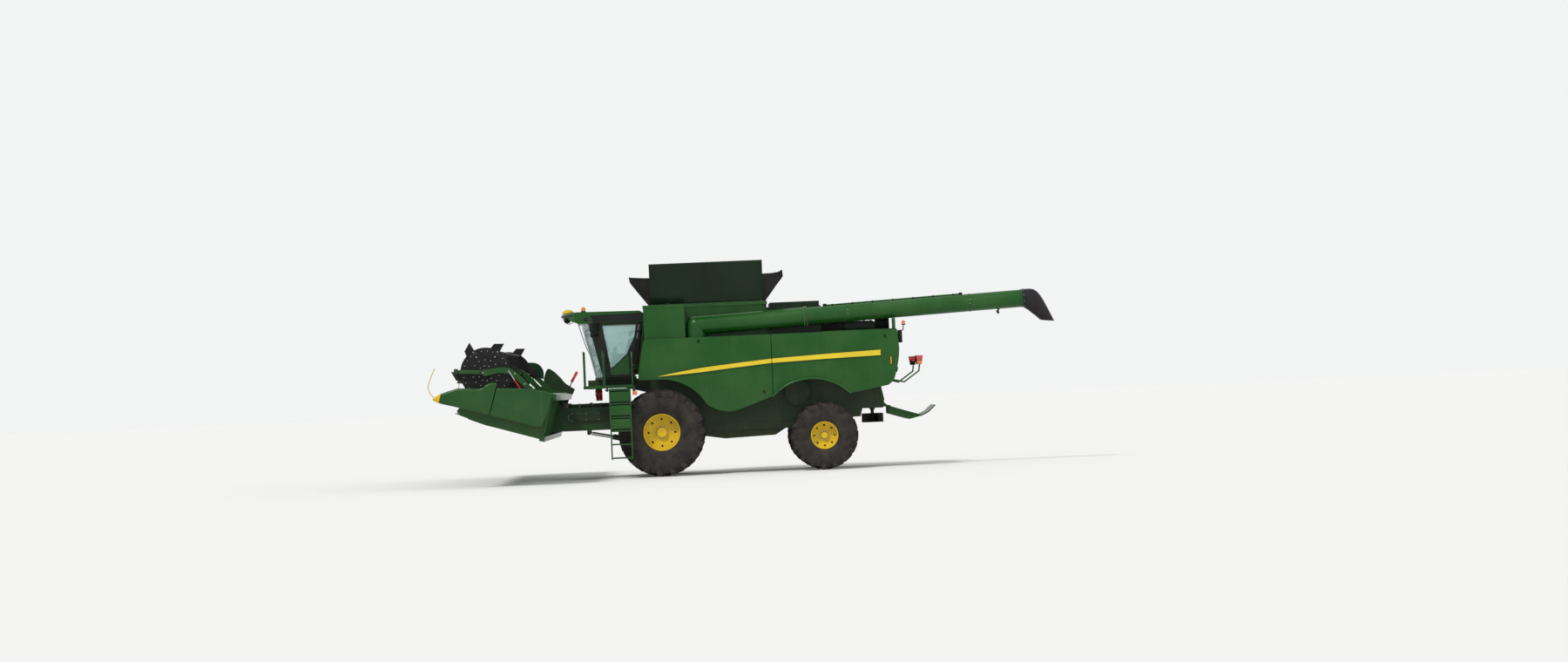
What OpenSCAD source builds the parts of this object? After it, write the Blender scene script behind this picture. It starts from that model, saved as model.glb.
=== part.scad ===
// Combine harvester with a raised grain header, in millimetres.
// Forward is -X, the left side is -Y, the ground is z = 0, and x is counted from the front axle.

/* [Wheels and axles] */
// Distance from the front axle to the rear axle
wheelbase = 3830; // [3750:10:3950]
// Radius of a front tyre at its lugs' tips
front_r = 1040; // [980:5:1050]
// Width of a front tyre
front_w = 780; // [700:10:800]
// Distance from the middle plane to a front tyre's middle
front_y = 1485; // [1470:5:1500]
// Radius of a front rim
front_rim_r = 435; // [400:5:460]
// Radius of a front wheel's shaft
front_shaft_r = 95; // [80:1:110]
// Radius of a rear tyre at its lugs' tips
rear_r = 810; // [760:5:830]
// Width of a rear tyre
rear_w = 600; // [540:10:620]
// Distance from the middle plane to a rear tyre's middle
rear_y = 1480; // [1460:5:1500]
// Radius of a rear rim
rear_rim_r = 325; // [300:5:350]
// Radius of a rear wheel's shaft
rear_shaft_r = 55; // [45:1:65]
// Height of a tread lug over the carcass
lug_h = 55; // [40:1:65]
// Number of lugs on each half of a front tyre
front_lugs = 19; // [16:1:22]
// Number of lugs on each half of a rear tyre
rear_lugs = 17; // [14:1:20]
// Distance from the middle plane to a kingpin
kingpin_y = 1120; // [1110:5:1130]
// Radius of a kingpin
kingpin_r = 36; // [30:1:40]
// Length of a steering arm, from kingpin to ball
steer_arm = 220; // [200:5:240]

/* [Body] */
// Distance from the middle plane to a side shield's widest line
shield_y = 1620; // [1610:5:1640]
// Thickness of a side shield
shield_t = 45; // [30:1:50]
// Height of the side shields' top edge
shield_top = 3250; // [3240:5:3255]
// Where the front and rear shields meet
shield_split = 2660; // [2640:5:2680]
// Radius of the arch over a front tyre
front_arch_r = 1250; // [1200:5:1280]
// Radius of the arch over a rear tyre
rear_arch_r = 1270; // [1240:5:1280]
// Half width of the threshing body
core_y = 690; // [670:5:700]
// Half width of the housings behind the side shields
house_y = 1440; // [1400:5:1445]
// Height of the deck over the threshing body
deck_z = 2740; // [2700:10:2760]
// Rear end of the body
tail_x = 5650; // [5600:10:5700]

/* [Grain tank] */
// Rear wall of the tank
tank_end = 2600; // [2590:5:2610]
// Half width of the tank above the shields
tank_y = 1440; // [1400:5:1445]
// Height of the tank's rim
tank_top = 3980; // [3950:5:4000]
// Thickness of the tank's walls
tank_t = 40; // [25:1:50]
// Length of a side cover, from its hinge to its edge
cover_len = 1120; // [1000:10:1170]
// Lean of an open side cover from upright
cover_lean = 33; // [25:1:40]
// Thickness of a cover
cover_t = 30; // [20:1:40]
// Distance from the middle plane to a cover's hinge
cover_y = 1215; // [1200:5:1230]

/* [Unloading auger] */
// Radius of the unloading tube in front of its joint ring
tube_r = 222; // [205:1:225]
// Radius of the tube behind the ring
tube_end_r = 208; // [190:1:210]
// Length of the tube from its turning axis to its spout
tube_len = 7780; // [7000:10:8200]
// Rise of the tube towards its spout, in degrees
tube_rise = 2.4; // [1.8:0.1:3.5]
// Place of the turning axis along the machine
turret_x = 905; // [895:5:930]
// Distance from the middle plane to the turning axis
turret_y = 1205; // [1200:5:1210]
// Height of the tube at its turning axis
tube_z = 3530; // [3520:5:3550]
// Bend of the spout, in degrees
spout_bend = 62; // [45:1:75]
// Radius of the spout's bend
spout_bend_r = 480; // [400:10:600]
// Length of the spout below its bend
spout_drop = 260; // [100:10:400]

/* [Cab] */
// Half width of the cab
cab_y = 950; // [900:5:960]
// Height of the cab floor
cab_floor = 2400; // [2380:5:2420]
// Height of the roof's underside
roof_z = 3690; // [3650:5:3700]
// Thickness of the cab's pillars
pillar_t = 60; // [50:1:70]
// Thickness of the cab glass
glass_t = 12; // [8:1:16]
// Radius of the curved windscreen
screen_r = 2490; // [2200:10:3000]
// Forward lean of the windscreen
screen_lean = 13; // [10:0.5:15]

/* [Header] */
// Half width between the header's end sheets
header_y = 5350; // [5000:10:5600]
// Width of an end divider
divider_w = 200; // [150:5:250]
// Angle of the raised header above level
lift = 16.5; // [15:0.5:17]
// Radius of the table auger over its flights
flight_r = 325; // [300:5:330]
// Radius of the table auger's tube
drum_r = 200; // [180:5:220]
// Pitch of the table auger's flights
flight_pitch = 560; // [450:10:650]
// Thickness of a flight
flight_t = 8; // [6:1:12]
// Distance between the knife guards
guard_pitch = 76.2; // [70:0.1:110]
// Length of a knife guard
guard_len = 115; // [90:1:130]
// Radius of the reel at its bats
bat_r = 550; // [500:5:555]
// Number of reel bats
bats = 6; // [5:1:6]
// Length of a reel tine
tine_len = 250; // [200:5:255]
// Distance between the tines of a bat
tine_pitch = 155; // [120:5:200]
// Half width of the feeder house
feeder_y = 640; // [600:5:650]
// Thickness of the feeder house's walls
feeder_t = 30; // [20:1:40]

/* [Fits] */
// Gap between seated pieces of different bodies
fit = 0.3; // [0.2:0.1:0.5]
// Gap round a pin in its eye
pin_gap = 0.1; // [0.05:0.05:0.3]
// Radius of the small hinge pins
pin_r = 10; // [8:1:11]
// Radius of the bore in the rear hitch
hitch_r = 16; // [14:1:20]

/* [Hidden] */
$fn = 48;

green = [0.11, 0.36, 0.17];
dark_green = [0.10, 0.19, 0.11];
black = [0.07, 0.07, 0.08];
yellow = [0.85, 0.68, 0.10];
steel = [0.55, 0.55, 0.55];
red = [0.65, 0.08, 0.06];
clear = [0.60, 0.78, 0.77, 0.5];

// Clearance between pieces that move past each other
gap = 5;
// Pivot of the feeder house, in x and z
pivot = [-350, 1750];
pivot_r = 45;
// Places on the header in its own level frame, in x and z
back_x = -2420;
floor_z = 450;
auger_at = [-2930, 870];
auger_shaft_r = 40;
reel_at = [-3980, 1550];
reel_shaft_r = 30;
arm_at = [-2915, 1456];
arm_y = header_y - 110;
arm_t = 50;
arm_pin_r = 25;
knife_x = -4250;
guide_tip = [-5159, 949];
guide_r = 9;
// Filling auger of the grain tank, and the round screen in the engine hood's side
filler_r = 110;
screen_hole_r = 250;
// Roof's top from its brow over the visor to its crest, and the dome that lies on it
roof_brow = [-2200, 3955];
roof_crest = [-1900, 3970];
roof_rise = (roof_crest[1] - roof_brow[1]) / (roof_crest[0] - roof_brow[0]);
dome_x = -2150;
dome_r = 130;
dome_h = 72;
// Pin that the unloader turns on
turret_pin_r = 60;
turret_pin_h = 48;
// Pins of the lift and reel cylinders
lift_base = [-150, 760];
lift_eye = [-1750, 1085];
lift_y = 500;
lift_pin_r = 20;
reel_base = [-2960, 1225];
reel_eye = [-3480, 1720];
reel_cyl_y = header_y - 30;
reel_pin_r = 12;
// Play of the rods' eyes round their pins
lift_drift = 9;
reel_drift = 3;
// Hinge lines
shield_hinge = [1475, 3200];
cover_z = tank_top + 95;
recess_y = 960;
door_hinge = [-440, -975];
door_t = 35;
board_hinge = [5340, 1450];
ladder_hinge = [-1250, -1550];
ladder_pin_r = 20;
// Spreader shafts
spreader_at = [5050, 330];
spreader_shaft_r = 25;
// Drive belts
belt_w = 50;
belt_t = 14;
chopper_base = 1400;
axle_z = rear_r;

function turned(p, a, c) = [
    c[0] + (p[0] - c[0]) * cos(a) + (p[1] - c[1]) * sin(a),
    c[1] - (p[0] - c[0]) * sin(a) + (p[1] - c[1]) * cos(a)
];

// The spout's outer lip gives the rear end, and the header's guide rods give the front end
lip_u = spout_bend_r * sin(spout_bend) + spout_drop * cos(spout_bend) + tube_end_r * sin(spout_bend);
lip_v = -spout_bend_r * (1 - cos(spout_bend)) - spout_drop * sin(spout_bend) + tube_end_r * cos(spout_bend);
rear_end = turret_x + (tube_len + lip_u) * cos(tube_rise) - lip_v * sin(tube_rise);
front_end = turned(guide_tip, lift, pivot)[0] - guide_r;
mid_x = (front_end + rear_end) / 2;

module framed()
    translate([-mid_x, 0, 0]) children();

module on_header()
    framed() translate([pivot[0], 0, pivot[1]]) rotate([0, lift, 0]) translate([-pivot[0], 0, -pivot[1]])
        children();

module both() {
    children();
    mirror([0, 1, 0]) children();
}

module side(left)
    mirror([0, left ? 1 : 0, 0]) children();

// Extrudes an x-z outline across the machine, from y0 to y1
module across(y0, y1)
    translate([0, y1, 0]) rotate([90, 0, 0]) linear_extrude(y1 - y0) children();

// Extrudes a y-z outline along the machine, from x0 to x1
module along(x0, x1)
    translate([x0, 0, 0]) rotate([90, 0, 90]) linear_extrude(x1 - x0) children();

// A box given by its low and high values on each axis
module block(x, y, z)
    translate([x[0], y[0], z[0]]) cube([x[1] - x[0], y[1] - y[0], z[1] - z[0]]);

// A round bar from p to q
module bar(p, q, r) {
    d = q - p;
    translate(p) rotate([0, acos(d[2] / norm(d)), atan2(d[1], d[0])]) cylinder(h = norm(d), r = r);
}

// A bent rail through a list of points, whose pieces run on through each corner
module rail(points, r) {
    last = len(points) - 2;
    for (i = [0:last]) {
        d = points[i + 1] - points[i];
        u = d / norm(d) * r * 0.6;
        bar(points[i] - (i > 0 ? u : 0 * u), points[i + 1] + (i < last ? u : 0 * u), r, $fn = 12);
    }
}

// The outline of a flat link from p to q with round ends, which are a little wider than its middle
module link(p, q, w) {
    d = q - p;
    translate(p) rotate(atan2(d[1], d[0])) translate([0, -w * 0.45]) square([norm(d), w * 0.9]);
    translate(p) circle(r = w / 2);
    translate(q) circle(r = w / 2);
}

module pin_y(at, y0, y1, r)
    translate([at[0], y1, at[1]]) rotate([90, 0, 0]) cylinder(h = y1 - y0, r = r);

module pin_x(y, z, x0, x1, r)
    translate([x0, y, z]) rotate([0, 90, 0]) cylinder(h = x1 - x0, r = r);

module pin_z(x, y, z0, z1, r)
    translate([x, y, z0]) cylinder(h = z1 - z0, r = r);

// Tyres and rims lie about the y axis, with their outside towards -Y

module tyre(r, w, rim_r, lugs) {
    carcass_r = r - lug_h;
    wall = carcass_r - rim_r;
    // Columns: radius, and half width as a share of the width
    half = [
        [rim_r + fit, 0.40],
        [rim_r + 0.12 * wall, 0.44],
        [rim_r + 0.50 * wall, 0.50],
        [carcass_r - 0.18 * wall, 0.48],
        [carcass_r, 0.38]
    ];
    last = len(half) - 1;
    sweep = w * 0.19;
    thick = w * 0.045;
    foot = carcass_r - 0.16 * wall;
    // The lugs' corners lie at the tyre's radius, and one of them stands on the ground
    top = sqrt(r ^ 2 - (sweep + thick) ^ 2);
    rotate([0, 180 + atan((sweep + thick) / top) + 90 / lugs, 0]) union() {
        rotate([90, 0, 0]) rotate_extrude()
            polygon(concat(
                [for (p = half) [p[0], p[1] * w]],
                [for (i = [last:-1:0]) [half[i][0], -half[i][1] * w]]
            ));
        // Each lug runs from the middle to the shoulder, and the two rows are staggered
        for (s = [-1, 1], i = [0:lugs - 1])
            rotate([0, (i + s / 4) * 360 / lugs, 0]) translate([0, 0, foot])
                linear_extrude(top - foot)
                    polygon([
                        [-sweep - thick, s * w * 0.03], [-sweep + thick, s * w * 0.03],
                        [sweep * 0.6 + thick, s * w / 2], [sweep * 0.6 - thick, s * w / 2]
                    ]);
    }
}

module rim(r, w, shaft_r) {
    hub_r = shaft_r + 75;
    cap_r = shaft_r + 30;
    wall = 18;
    holes = 8;
    hole_at = (hub_r + 45 + r - wall) / 2;
    difference() {
        rotate([90, 0, 0]) rotate_extrude()
            polygon([
                [r, -0.39 * w], [r, 0.39 * w], [r - wall, 0.39 * w], [r - wall, 95],
                [hub_r + 45, 50], [hub_r, 52], [cap_r, 52], [cap_r - 10, 118], [0, 118],
                [0, 96], [shaft_r + pin_gap, 96], [shaft_r + pin_gap, 15],
                [hub_r, 15], [hub_r + 45, 22], [r - wall, 68], [r - wall, -0.39 * w]
            ]);
        for (i = [0:holes - 1])
            rotate([0, i * 360 / holes, 0]) translate([0, 0, hole_at]) rotate([90, 0, 0])
                cylinder(h = 400, r = 26, center = true);
    }
}

module on_axle(x, y, z, left)
    framed() translate([x, left ? -y : y, z]) side(!left) children();

module front_tyre(left) on_axle(0, front_y, front_r, left) tyre(front_r, front_w, front_rim_r, front_lugs);
module front_rim(left) on_axle(0, front_y, front_r, left) rim(front_rim_r, front_w, front_shaft_r);
module rear_tyre(left) on_axle(wheelbase, rear_y, rear_r, left) tyre(rear_r, rear_w, rear_rim_r, rear_lugs);
module rear_rim(left) on_axle(wheelbase, rear_y, rear_r, left) rim(rear_rim_r, rear_w, rear_shaft_r);

module tyre_front_left() color(black) front_tyre(true);
module tyre_front_right() color(black) front_tyre(false);
module rim_front_left() color(yellow) front_rim(true);
module rim_front_right() color(yellow) front_rim(false);
module tyre_rear_left() color(black) rear_tyre(true);
module tyre_rear_right() color(black) rear_tyre(false);
module rim_rear_left() color(yellow) rear_rim(true);
module rim_rear_right() color(yellow) rear_rim(false);

// Chassis

module chassis_frame() framed() color(dark_green) {
    difference() {
        union() {
            both() {
                block([-140, 4380], [560, 640], [1010, 1200]);
                pin_y([0, front_r], 790, front_y - 185, 230);
                pin_y([0, front_r], front_y - 190, front_y + 15 - fit, 150);
                pin_y([0, front_r], front_y, front_y + 90, front_shaft_r);
                across(core_y, core_y + 40) union() {
                    translate(pivot) circle(r = 110);
                    polygon([
                        [-430, 1690], [-260, 1200], [-200, 1010], [200, 1010], [260, 1950], [-330, 1858]
                    ]);
                }
                across(lift_y - 55, lift_y - 30) link(lift_base, [-80, 980], 110);
                across(lift_y + 30, lift_y + 55) link(lift_base, [-80, 980], 110);
                pin_y(lift_base, lift_y - 55, lift_y + 55, lift_pin_r);
                across(460, 540)
                    polygon([[-240, 2340], [-1720, 2340], [-1720, 2150], [-900, 2150], [-240, 1980]]);
            }
            block([-140, 140], [-800, 800], [930, 1150]);
            block([wheelbase - 130, wheelbase + 130], [-600, 600], [1010, 1180]);
            block([4240, 4380], [-600, 600], [1060, 1200]);
            for (x = [-1680, -760])
                block([x, x + 80], [-1800, 540], [2126, 2160]);
            block([wheelbase - 50, wheelbase + 50], [-60, 60], [axle_z + 85, 1020]);
        }
        both() pin_y(pivot, core_y - 1, core_y + 41, pivot_r + pin_gap);
    }
}

module rear_axle() framed() color(dark_green) difference() {
    union() {
        block([wheelbase - 90, wheelbase + 90], [-940, 940], [axle_z - 85, axle_z + 85]);
        both() for (z = [axle_z - 120, axle_z + 84])
            translate([0, 0, z]) linear_extrude(36) union() {
                translate([wheelbase - 68, 840]) square([136, kingpin_y - 840]);
                translate([wheelbase, kingpin_y]) circle(r = 72);
            }
        // Tongue of the rear hitch, flat where its pin goes through
        across(-80, 80) polygon([
            [wheelbase - 60, axle_z - 80], [wheelbase + 60, axle_z - 80], [wheelbase + 400, axle_z - 170],
            [wheelbase + 520, axle_z - 170], [wheelbase + 520, axle_z - 235], [wheelbase + 380, axle_z - 235],
            [wheelbase - 60, axle_z - 160]
        ]);
    }
    both() pin_z(wheelbase, kingpin_y, axle_z - 130, axle_z + 130, kingpin_r + pin_gap);
    pin_z(wheelbase + 460, 0, axle_z - 260, axle_z - 100, hitch_r);
}

module knuckle() {
    pin_z(wheelbase, kingpin_y, axle_z - 120, axle_z + 120, kingpin_r);
    pin_z(wheelbase, kingpin_y, axle_z - 80, axle_z + 80, 72);
    pin_y([wheelbase, axle_z], kingpin_y, rear_y - 240, 60);
    pin_y([wheelbase, axle_z], rear_y - 241, rear_y + 15 - fit, 90);
    pin_y([wheelbase, axle_z], rear_y, rear_y + 90, rear_shaft_r);
    translate([0, 0, axle_z - 75]) linear_extrude(30)
        link([wheelbase, kingpin_y], [wheelbase + steer_arm, kingpin_y], 90);
    pin_z(wheelbase + steer_arm, kingpin_y, axle_z - 75, axle_z + 5, 14);
}

module knuckle_left() framed() color(dark_green) side(true) knuckle();
module knuckle_right() framed() color(dark_green) knuckle();

module tie_rod() framed() color(steel) difference() {
    union() {
        pin_y([wheelbase + steer_arm, axle_z - 20], -kingpin_y + 10, kingpin_y - 10, 16);
        both() pin_z(wheelbase + steer_arm, kingpin_y, axle_z - 40, axle_z, 32);
    }
    both() pin_z(wheelbase + steer_arm, kingpin_y, axle_z - 50, axle_z + 10, 14 + pin_gap);
}

// Outline round two pulleys, whose straight runs stop just inside the tangents
module belt_edge(p, rp, q, rq) {
    d = q - p;
    lean = asin((rp - rq) / norm(d));
    side_p = 0.99 * rp * [sin(lean), cos(lean)];
    side_q = 0.99 * rq * [sin(lean), cos(lean)];
    translate(p) rotate(atan2(d[1], d[0])) {
        polygon([
            side_p, side_q + [norm(d), 0], [side_q[0] + norm(d), -side_q[1]], [side_p[0], -side_p[1]]
        ]);
        circle(r = rp);
        translate([norm(d), 0]) circle(r = rq);
    }
}

// A belt from y0 outwards with its two pulleys, whose shafts start in the threshing body's side
module belt_drive(p, rp, q, rq, y0) {
    across(y0, y0 + belt_w) difference() {
        belt_edge(p, rp + belt_t, q, rq + belt_t);
        belt_edge(p, rp - 2, q, rq - 2);
    }
    for (c = [[p, rp], [q, rq]]) {
        pin_y(c[0], y0 - 8, y0 + belt_w + 8, c[1]);
        pin_y(c[0], core_y - 1, y0 + belt_w + 40, 45);
    }
}

// Threshing body, housings and deck

module threshing_body() framed() color(green) {
    across(-core_y, core_y) polygon([
        [-240, 1055], [-240, 2340], [-120, deck_z], [4380, deck_z], [4380, 1200], [-210, 1200], [-210, 1055]
    ]);
    across(-545, 545) polygon([[700, 1201], [900, 920], [1500, 820], [2700, 860], [3250, 1201]]);
    // Curved trap under the feeder's rear edge
    across(-core_y + 2, core_y - 2) intersection() {
        translate(pivot) difference() {
            circle(r = 705);
            circle(r = 680);
        }
        polygon([pivot, [-400, 1000], [-230, 1000], [-230, 1300]]);
    }
    // Belts on the left, and a belt and the clean grain elevator on the right
    side(true) {
        belt_drive([1250, 1950], 240, [2500, 2400], 150, core_y + 30);
        belt_drive([2500, 2400], 170, [3250, 1850], 290, core_y + 110);
    }
    belt_drive([2700, 2200], 300, [950, 2350], 140, core_y + 30);
    across(core_y - 1, core_y + 170) link([1800, 1080], [1500, 2600], 260);
}

module hinge_eyes(xs)
    both() for (x = xs) difference() {
        union() {
            pin_x(shield_hinge[0], shield_hinge[1], x - 40, x + 40, pin_r + 10);
            block(
                [x - 40, x + 40], [house_y - 2, shield_hinge[0]], [shield_hinge[1] - 15, shield_hinge[1] + 15]
            );
        }
        pin_x(shield_hinge[0], shield_hinge[1], x - 41, x + 41, pin_r + pin_gap);
    }

hood_x0 = 3885;
chopper_x0 = 4380;
module rear_hood() framed() color(green) {
    wall = 30;
    difference() {
        across(-house_y, house_y) polygon([
            [hood_x0, deck_z], [hood_x0, 3270], [tail_x - 30, 3270], [tail_x, 3240], [tail_x + 28, 2790],
            [tail_x, 2460], [tail_x - 105, 2070], [tail_x - 260, 1955],
            [chopper_x0, 1955], [chopper_x0, deck_z]
        ]);
        across(-house_y + wall, house_y - wall) polygon([
            [hood_x0 + wall, deck_z + wall], [hood_x0 + wall, 3240], [tail_x - 40, 3240],
            [tail_x - 4, 2790], [tail_x - 30, 2460], [tail_x - 135, 2085], [tail_x - 260, 1900],
            [chopper_x0 + wall, 1900], [chopper_x0 + wall, deck_z + wall]
        ]);
    }
    hinge_eyes([5300]);
    // Cradle under the unloading tube, open to the outside
    cradle_x = tail_x - 90;
    tube_low = tube_z + (cradle_x - turret_x) * tan(tube_rise) - tube_end_r / cos(tube_rise) - gap;
    block([cradle_x, cradle_x + 60], [-house_y, -recess_y], [3269, tube_low]);
    // Arms of the tail lamps
    both() rail([
        [tail_x - 160, 1300, 2060], [tail_x + 130, 1300, 1990], [6140, 1300, 2240], [6160, 1300, 2390]
    ], 18);
}

module engine_hood() framed() color(dark_green) {
    x0 = tank_end;
    x1 = hood_x0;
    wall = 30;
    difference() {
        union() {
            block([x0, x1], [-house_y, house_y], [deck_z, shield_top]);
            block([x0, x1], [-recess_y, house_y], [shield_top - 1, 3900]);
            block([x0 + 80, x1 - 30], [-recess_y + 120, house_y - 120], [3899, 4010]);
        }
        block([x0 + wall, x1 - wall], [-house_y + wall, house_y - wall], [deck_z - 1, shield_top - wall]);
        block([x0 + wall, x1 - wall], [-recess_y + wall, house_y - wall], [deck_z, 3900 - wall]);
        for (x = [x0 + 150:110:x1 - 200])
            block([x, x + 45], [-650, 1150], [3992, 4011]);
    }
    hinge_eyes([3000]);
    // Round screen of the cooling air, in the right side
    screen = [(x0 + x1) / 2, 3600];
    difference() {
        pin_y(screen, house_y - 1, house_y + 26, screen_hole_r + 20);
        pin_y(screen, house_y + 10, house_y + 27, screen_hole_r);
    }
    for (a = [0:45:135])
        translate([screen[0], 0, screen[1]]) rotate([0, a, 0])
            block([-screen_hole_r - 5, screen_hole_r + 5], [house_y + 5, house_y + 20], [-8, 8]);
    pin_y(screen, house_y, house_y + 30, 60);
}

module engine_block() framed() color(steel)
    block([2750, 3720], [-420, 420], [deck_z, 3600]);

// Grain tank

module tank_plan(inset) {
    x0 = -330 + inset;
    x1 = tank_end - inset;
    polygon([
        [x0, -tank_y + inset], [645 - inset, -tank_y + inset], [645 - inset, -recess_y + inset],
        [x1, -recess_y + inset], [x1, tank_y - inset], [x0, tank_y - inset]
    ]);
}

module grain_tank() framed() color(green) {
    mouth = [[-130, 2500], [-cover_y + 25, cover_y - 25]];
    difference() {
        union() {
            block([-330, tank_end], [-house_y, house_y], [deck_z, shield_top]);
            translate([0, 0, shield_top - 1]) linear_extrude(tank_top - shield_top + 1) tank_plan(0);
            translate([0, 0, tank_top - 1]) linear_extrude(71) union() {
                tank_plan(-10);
                translate([600, -cover_y - 85]) square([tank_end - 590, 400]);
            }
        }
        translate([0, 0, 3205]) linear_extrude(tank_top - 3205) tank_plan(tank_t);
        along(-330 + tank_t, tank_end - tank_t)
            polygon([[-500, deck_z + 50], [500, deck_z + 50], [1400, 3206], [-1400, 3206]]);
        block(mouth[0], mouth[1], [tank_top - 2, tank_top + 100]);
    }
    hinge_eyes([200, 2300]);
    // Ring that the unloader turns on
    pin_z(turret_x, -turret_y, shield_top - 1, shield_top + 12, tube_r + 8);
    pin_z(turret_x, -turret_y, shield_top, shield_top + turret_pin_h, turret_pin_r);
    // Covers over the two cross augers, and the filling auger that leans to the middle
    along(-330 + tank_t - 1, tank_end - tank_t + 1)
        for (y = [-230, 230])
            polygon([
                [y - 90, deck_z + 49], [y - 90, deck_z + 75], [y, deck_z + 150], [y + 90, deck_z + 75],
                [y + 90, deck_z + 49]
            ]);
    bar([2465, 1135, 3042], [1750, 200, 3900], filler_r);
    // Eyes of the cover hinges
    both() for (x = [250, 2100]) difference() {
        union() {
            pin_x(cover_y, cover_z, x - 40, x + 40, pin_r + 10);
            block([x - 40, x + 40], [cover_y - 10, cover_y + 20], [tank_top + 69, cover_z]);
        }
        pin_x(cover_y, cover_z, x - 41, x + 41, pin_r + pin_gap);
    }
}

// Wings in front of and behind the side covers, filled at the corners
module tank_wings() framed() color(black) {
    z0 = tank_top + 70;
    edge = cover_y - 40;
    across(-edge, edge) {
        polygon([
            [-150, z0], [-440, z0 + 360], [-590, z0 + 560], [-610, z0 + 695], [-640, z0 + 690],
            [-620, z0 + 570], [-470, z0 + 370], [-185, z0]
        ]);
        polygon([
            [2540, z0], [2835, z0 + 390], [2985, z0 + 570], [2975, z0 + 720], [3005, z0 + 722],
            [3017, z0 + 562], [2865, z0 + 375], [2578, z0]
        ]);
    }
    both() across(edge - 22, edge - 4) {
        polygon([
            [-156, z0 + 1], [-168, z0 + 1], [-455, z0 + 365], [-605, z0 + 565], [-625, z0 + 685],
            [-300, z0 + 660], [-156, z0 + 655]
        ]);
        polygon([
            [2526, z0 + 1], [2560, z0 + 1], [2850, z0 + 382], [3000, z0 + 566], [2990, z0 + 715],
            [2900, z0 + 675], [2740, z0 + 655], [2526, z0 + 650]
        ]);
    }
}

// A side cover, drawn closed on the right side and then leaned out
module tank_cover()
    translate([0, cover_y, cover_z]) rotate([-(90 + cover_lean), 0, 0]) {
        difference() {
            block([-150, 2520], [-cover_len, -14], [12, 12 + cover_t]);
            for (x = [250, 2100])
                block([x - 45, x + 45], [-40, 0], [0, 60]);
        }
        for (x = [250, 2100]) {
            pin_x(0, 0, x - 55, x + 55, pin_r);
            for (e = [-55, 45])
                block([x + e, x + e + 10], [-60, 0], [-5, 20]);
        }
        for (x = [-150, 1160, 2490])
            block([x, x + 30], [-cover_len, -200], [12 + cover_t - 1, 12 + cover_t + 25]);
    }

module tank_cover_left() framed() color(dark_green) side(true) tank_cover();
module tank_cover_right() framed() color(dark_green) tank_cover();

// Side shields: a bent section cut to the side outline

module shield_section(x0, x1)
    translate([1000, 0, 2615]) rotate([0, -2.6, 0]) translate([-1000, 0, -2615])
        along(x0, x1) polygon([
            [shield_y - 85, 3500], [shield_y - 8, 2615], [shield_y, 2320], [shield_y, 2020],
            [shield_y - 80, 1300], [shield_y - 80 - shield_t, 1300], [shield_y - shield_t, 2020],
            [shield_y - shield_t, 2320], [shield_y - 8 - shield_t, 2615], [shield_y - 85 - shield_t, 3500]
        ]);

module shield(x0, x1, hinges) {
    intersection() {
        shield_section(x0, x1);
        across(1000, 2000) children();
    }
    for (x = hinges) {
        pin_x(shield_hinge[0], shield_hinge[1], x - 55, x + 55, pin_r);
        for (e = [-55, 45])
            block(
                [x + e, x + e + 10], [shield_hinge[0], shield_y - 70],
                [shield_hinge[1] - 10, shield_hinge[1] + 10]
            );
    }
}

module front_shield()
    shield(-700, shield_split, [200, 2300]) difference() {
        polygon([
            [-330, shield_top], [-375, 3120], [-480, 2570], [-510, 2290], [100, 2290], [700, 1900],
            [1180, 1600], [1370, 1510], [1580, 1464], [1780, 1484], [shield_split - gap, 1790],
            [shield_split - gap, shield_top]
        ]);
        translate([0, front_r]) circle(r = front_arch_r);
    }

module rear_shield()
    shield(2000, 6000, [3000, 5300]) difference() {
        polygon([
            [shield_split, shield_top], [shield_split, 1790], [3570, 1600], [4440, 1770],
            [5370, 1930], [5545, 2070], [tail_x, 2460], [tail_x + 30, 2790], [tail_x, shield_top]
        ]);
        translate([3570, 880]) circle(r = rear_arch_r);
    }

module shield_front_left() framed() color(green) side(true) front_shield();
module shield_rear_left() framed() color(green) side(true) rear_shield();
module shield_front_right() framed() color(green) front_shield();
module shield_rear_right() framed() color(green) rear_shield();

// Cab

// Draws what leans forward with the windscreen, from its foot at the floor
module leaning()
    translate([-1540, 0, 2340]) rotate([0, -screen_lean, 0]) children();

// Where the front pillars start behind the screen's edge, and the front edge that they leave at a height
pillar_x = screen_r - sqrt((screen_r - glass_t) ^ 2 - (cab_y - 5) ^ 2) + 1;
sill_z = 2545;
wall_top = 2800;
function screen_x(depth, z) = -1540 + depth / cos(screen_lean) - (z - 2340) * tan(screen_lean);
function rear_x(x, z) = x + 240 * (z - cab_floor) / (roof_z - cab_floor);

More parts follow.
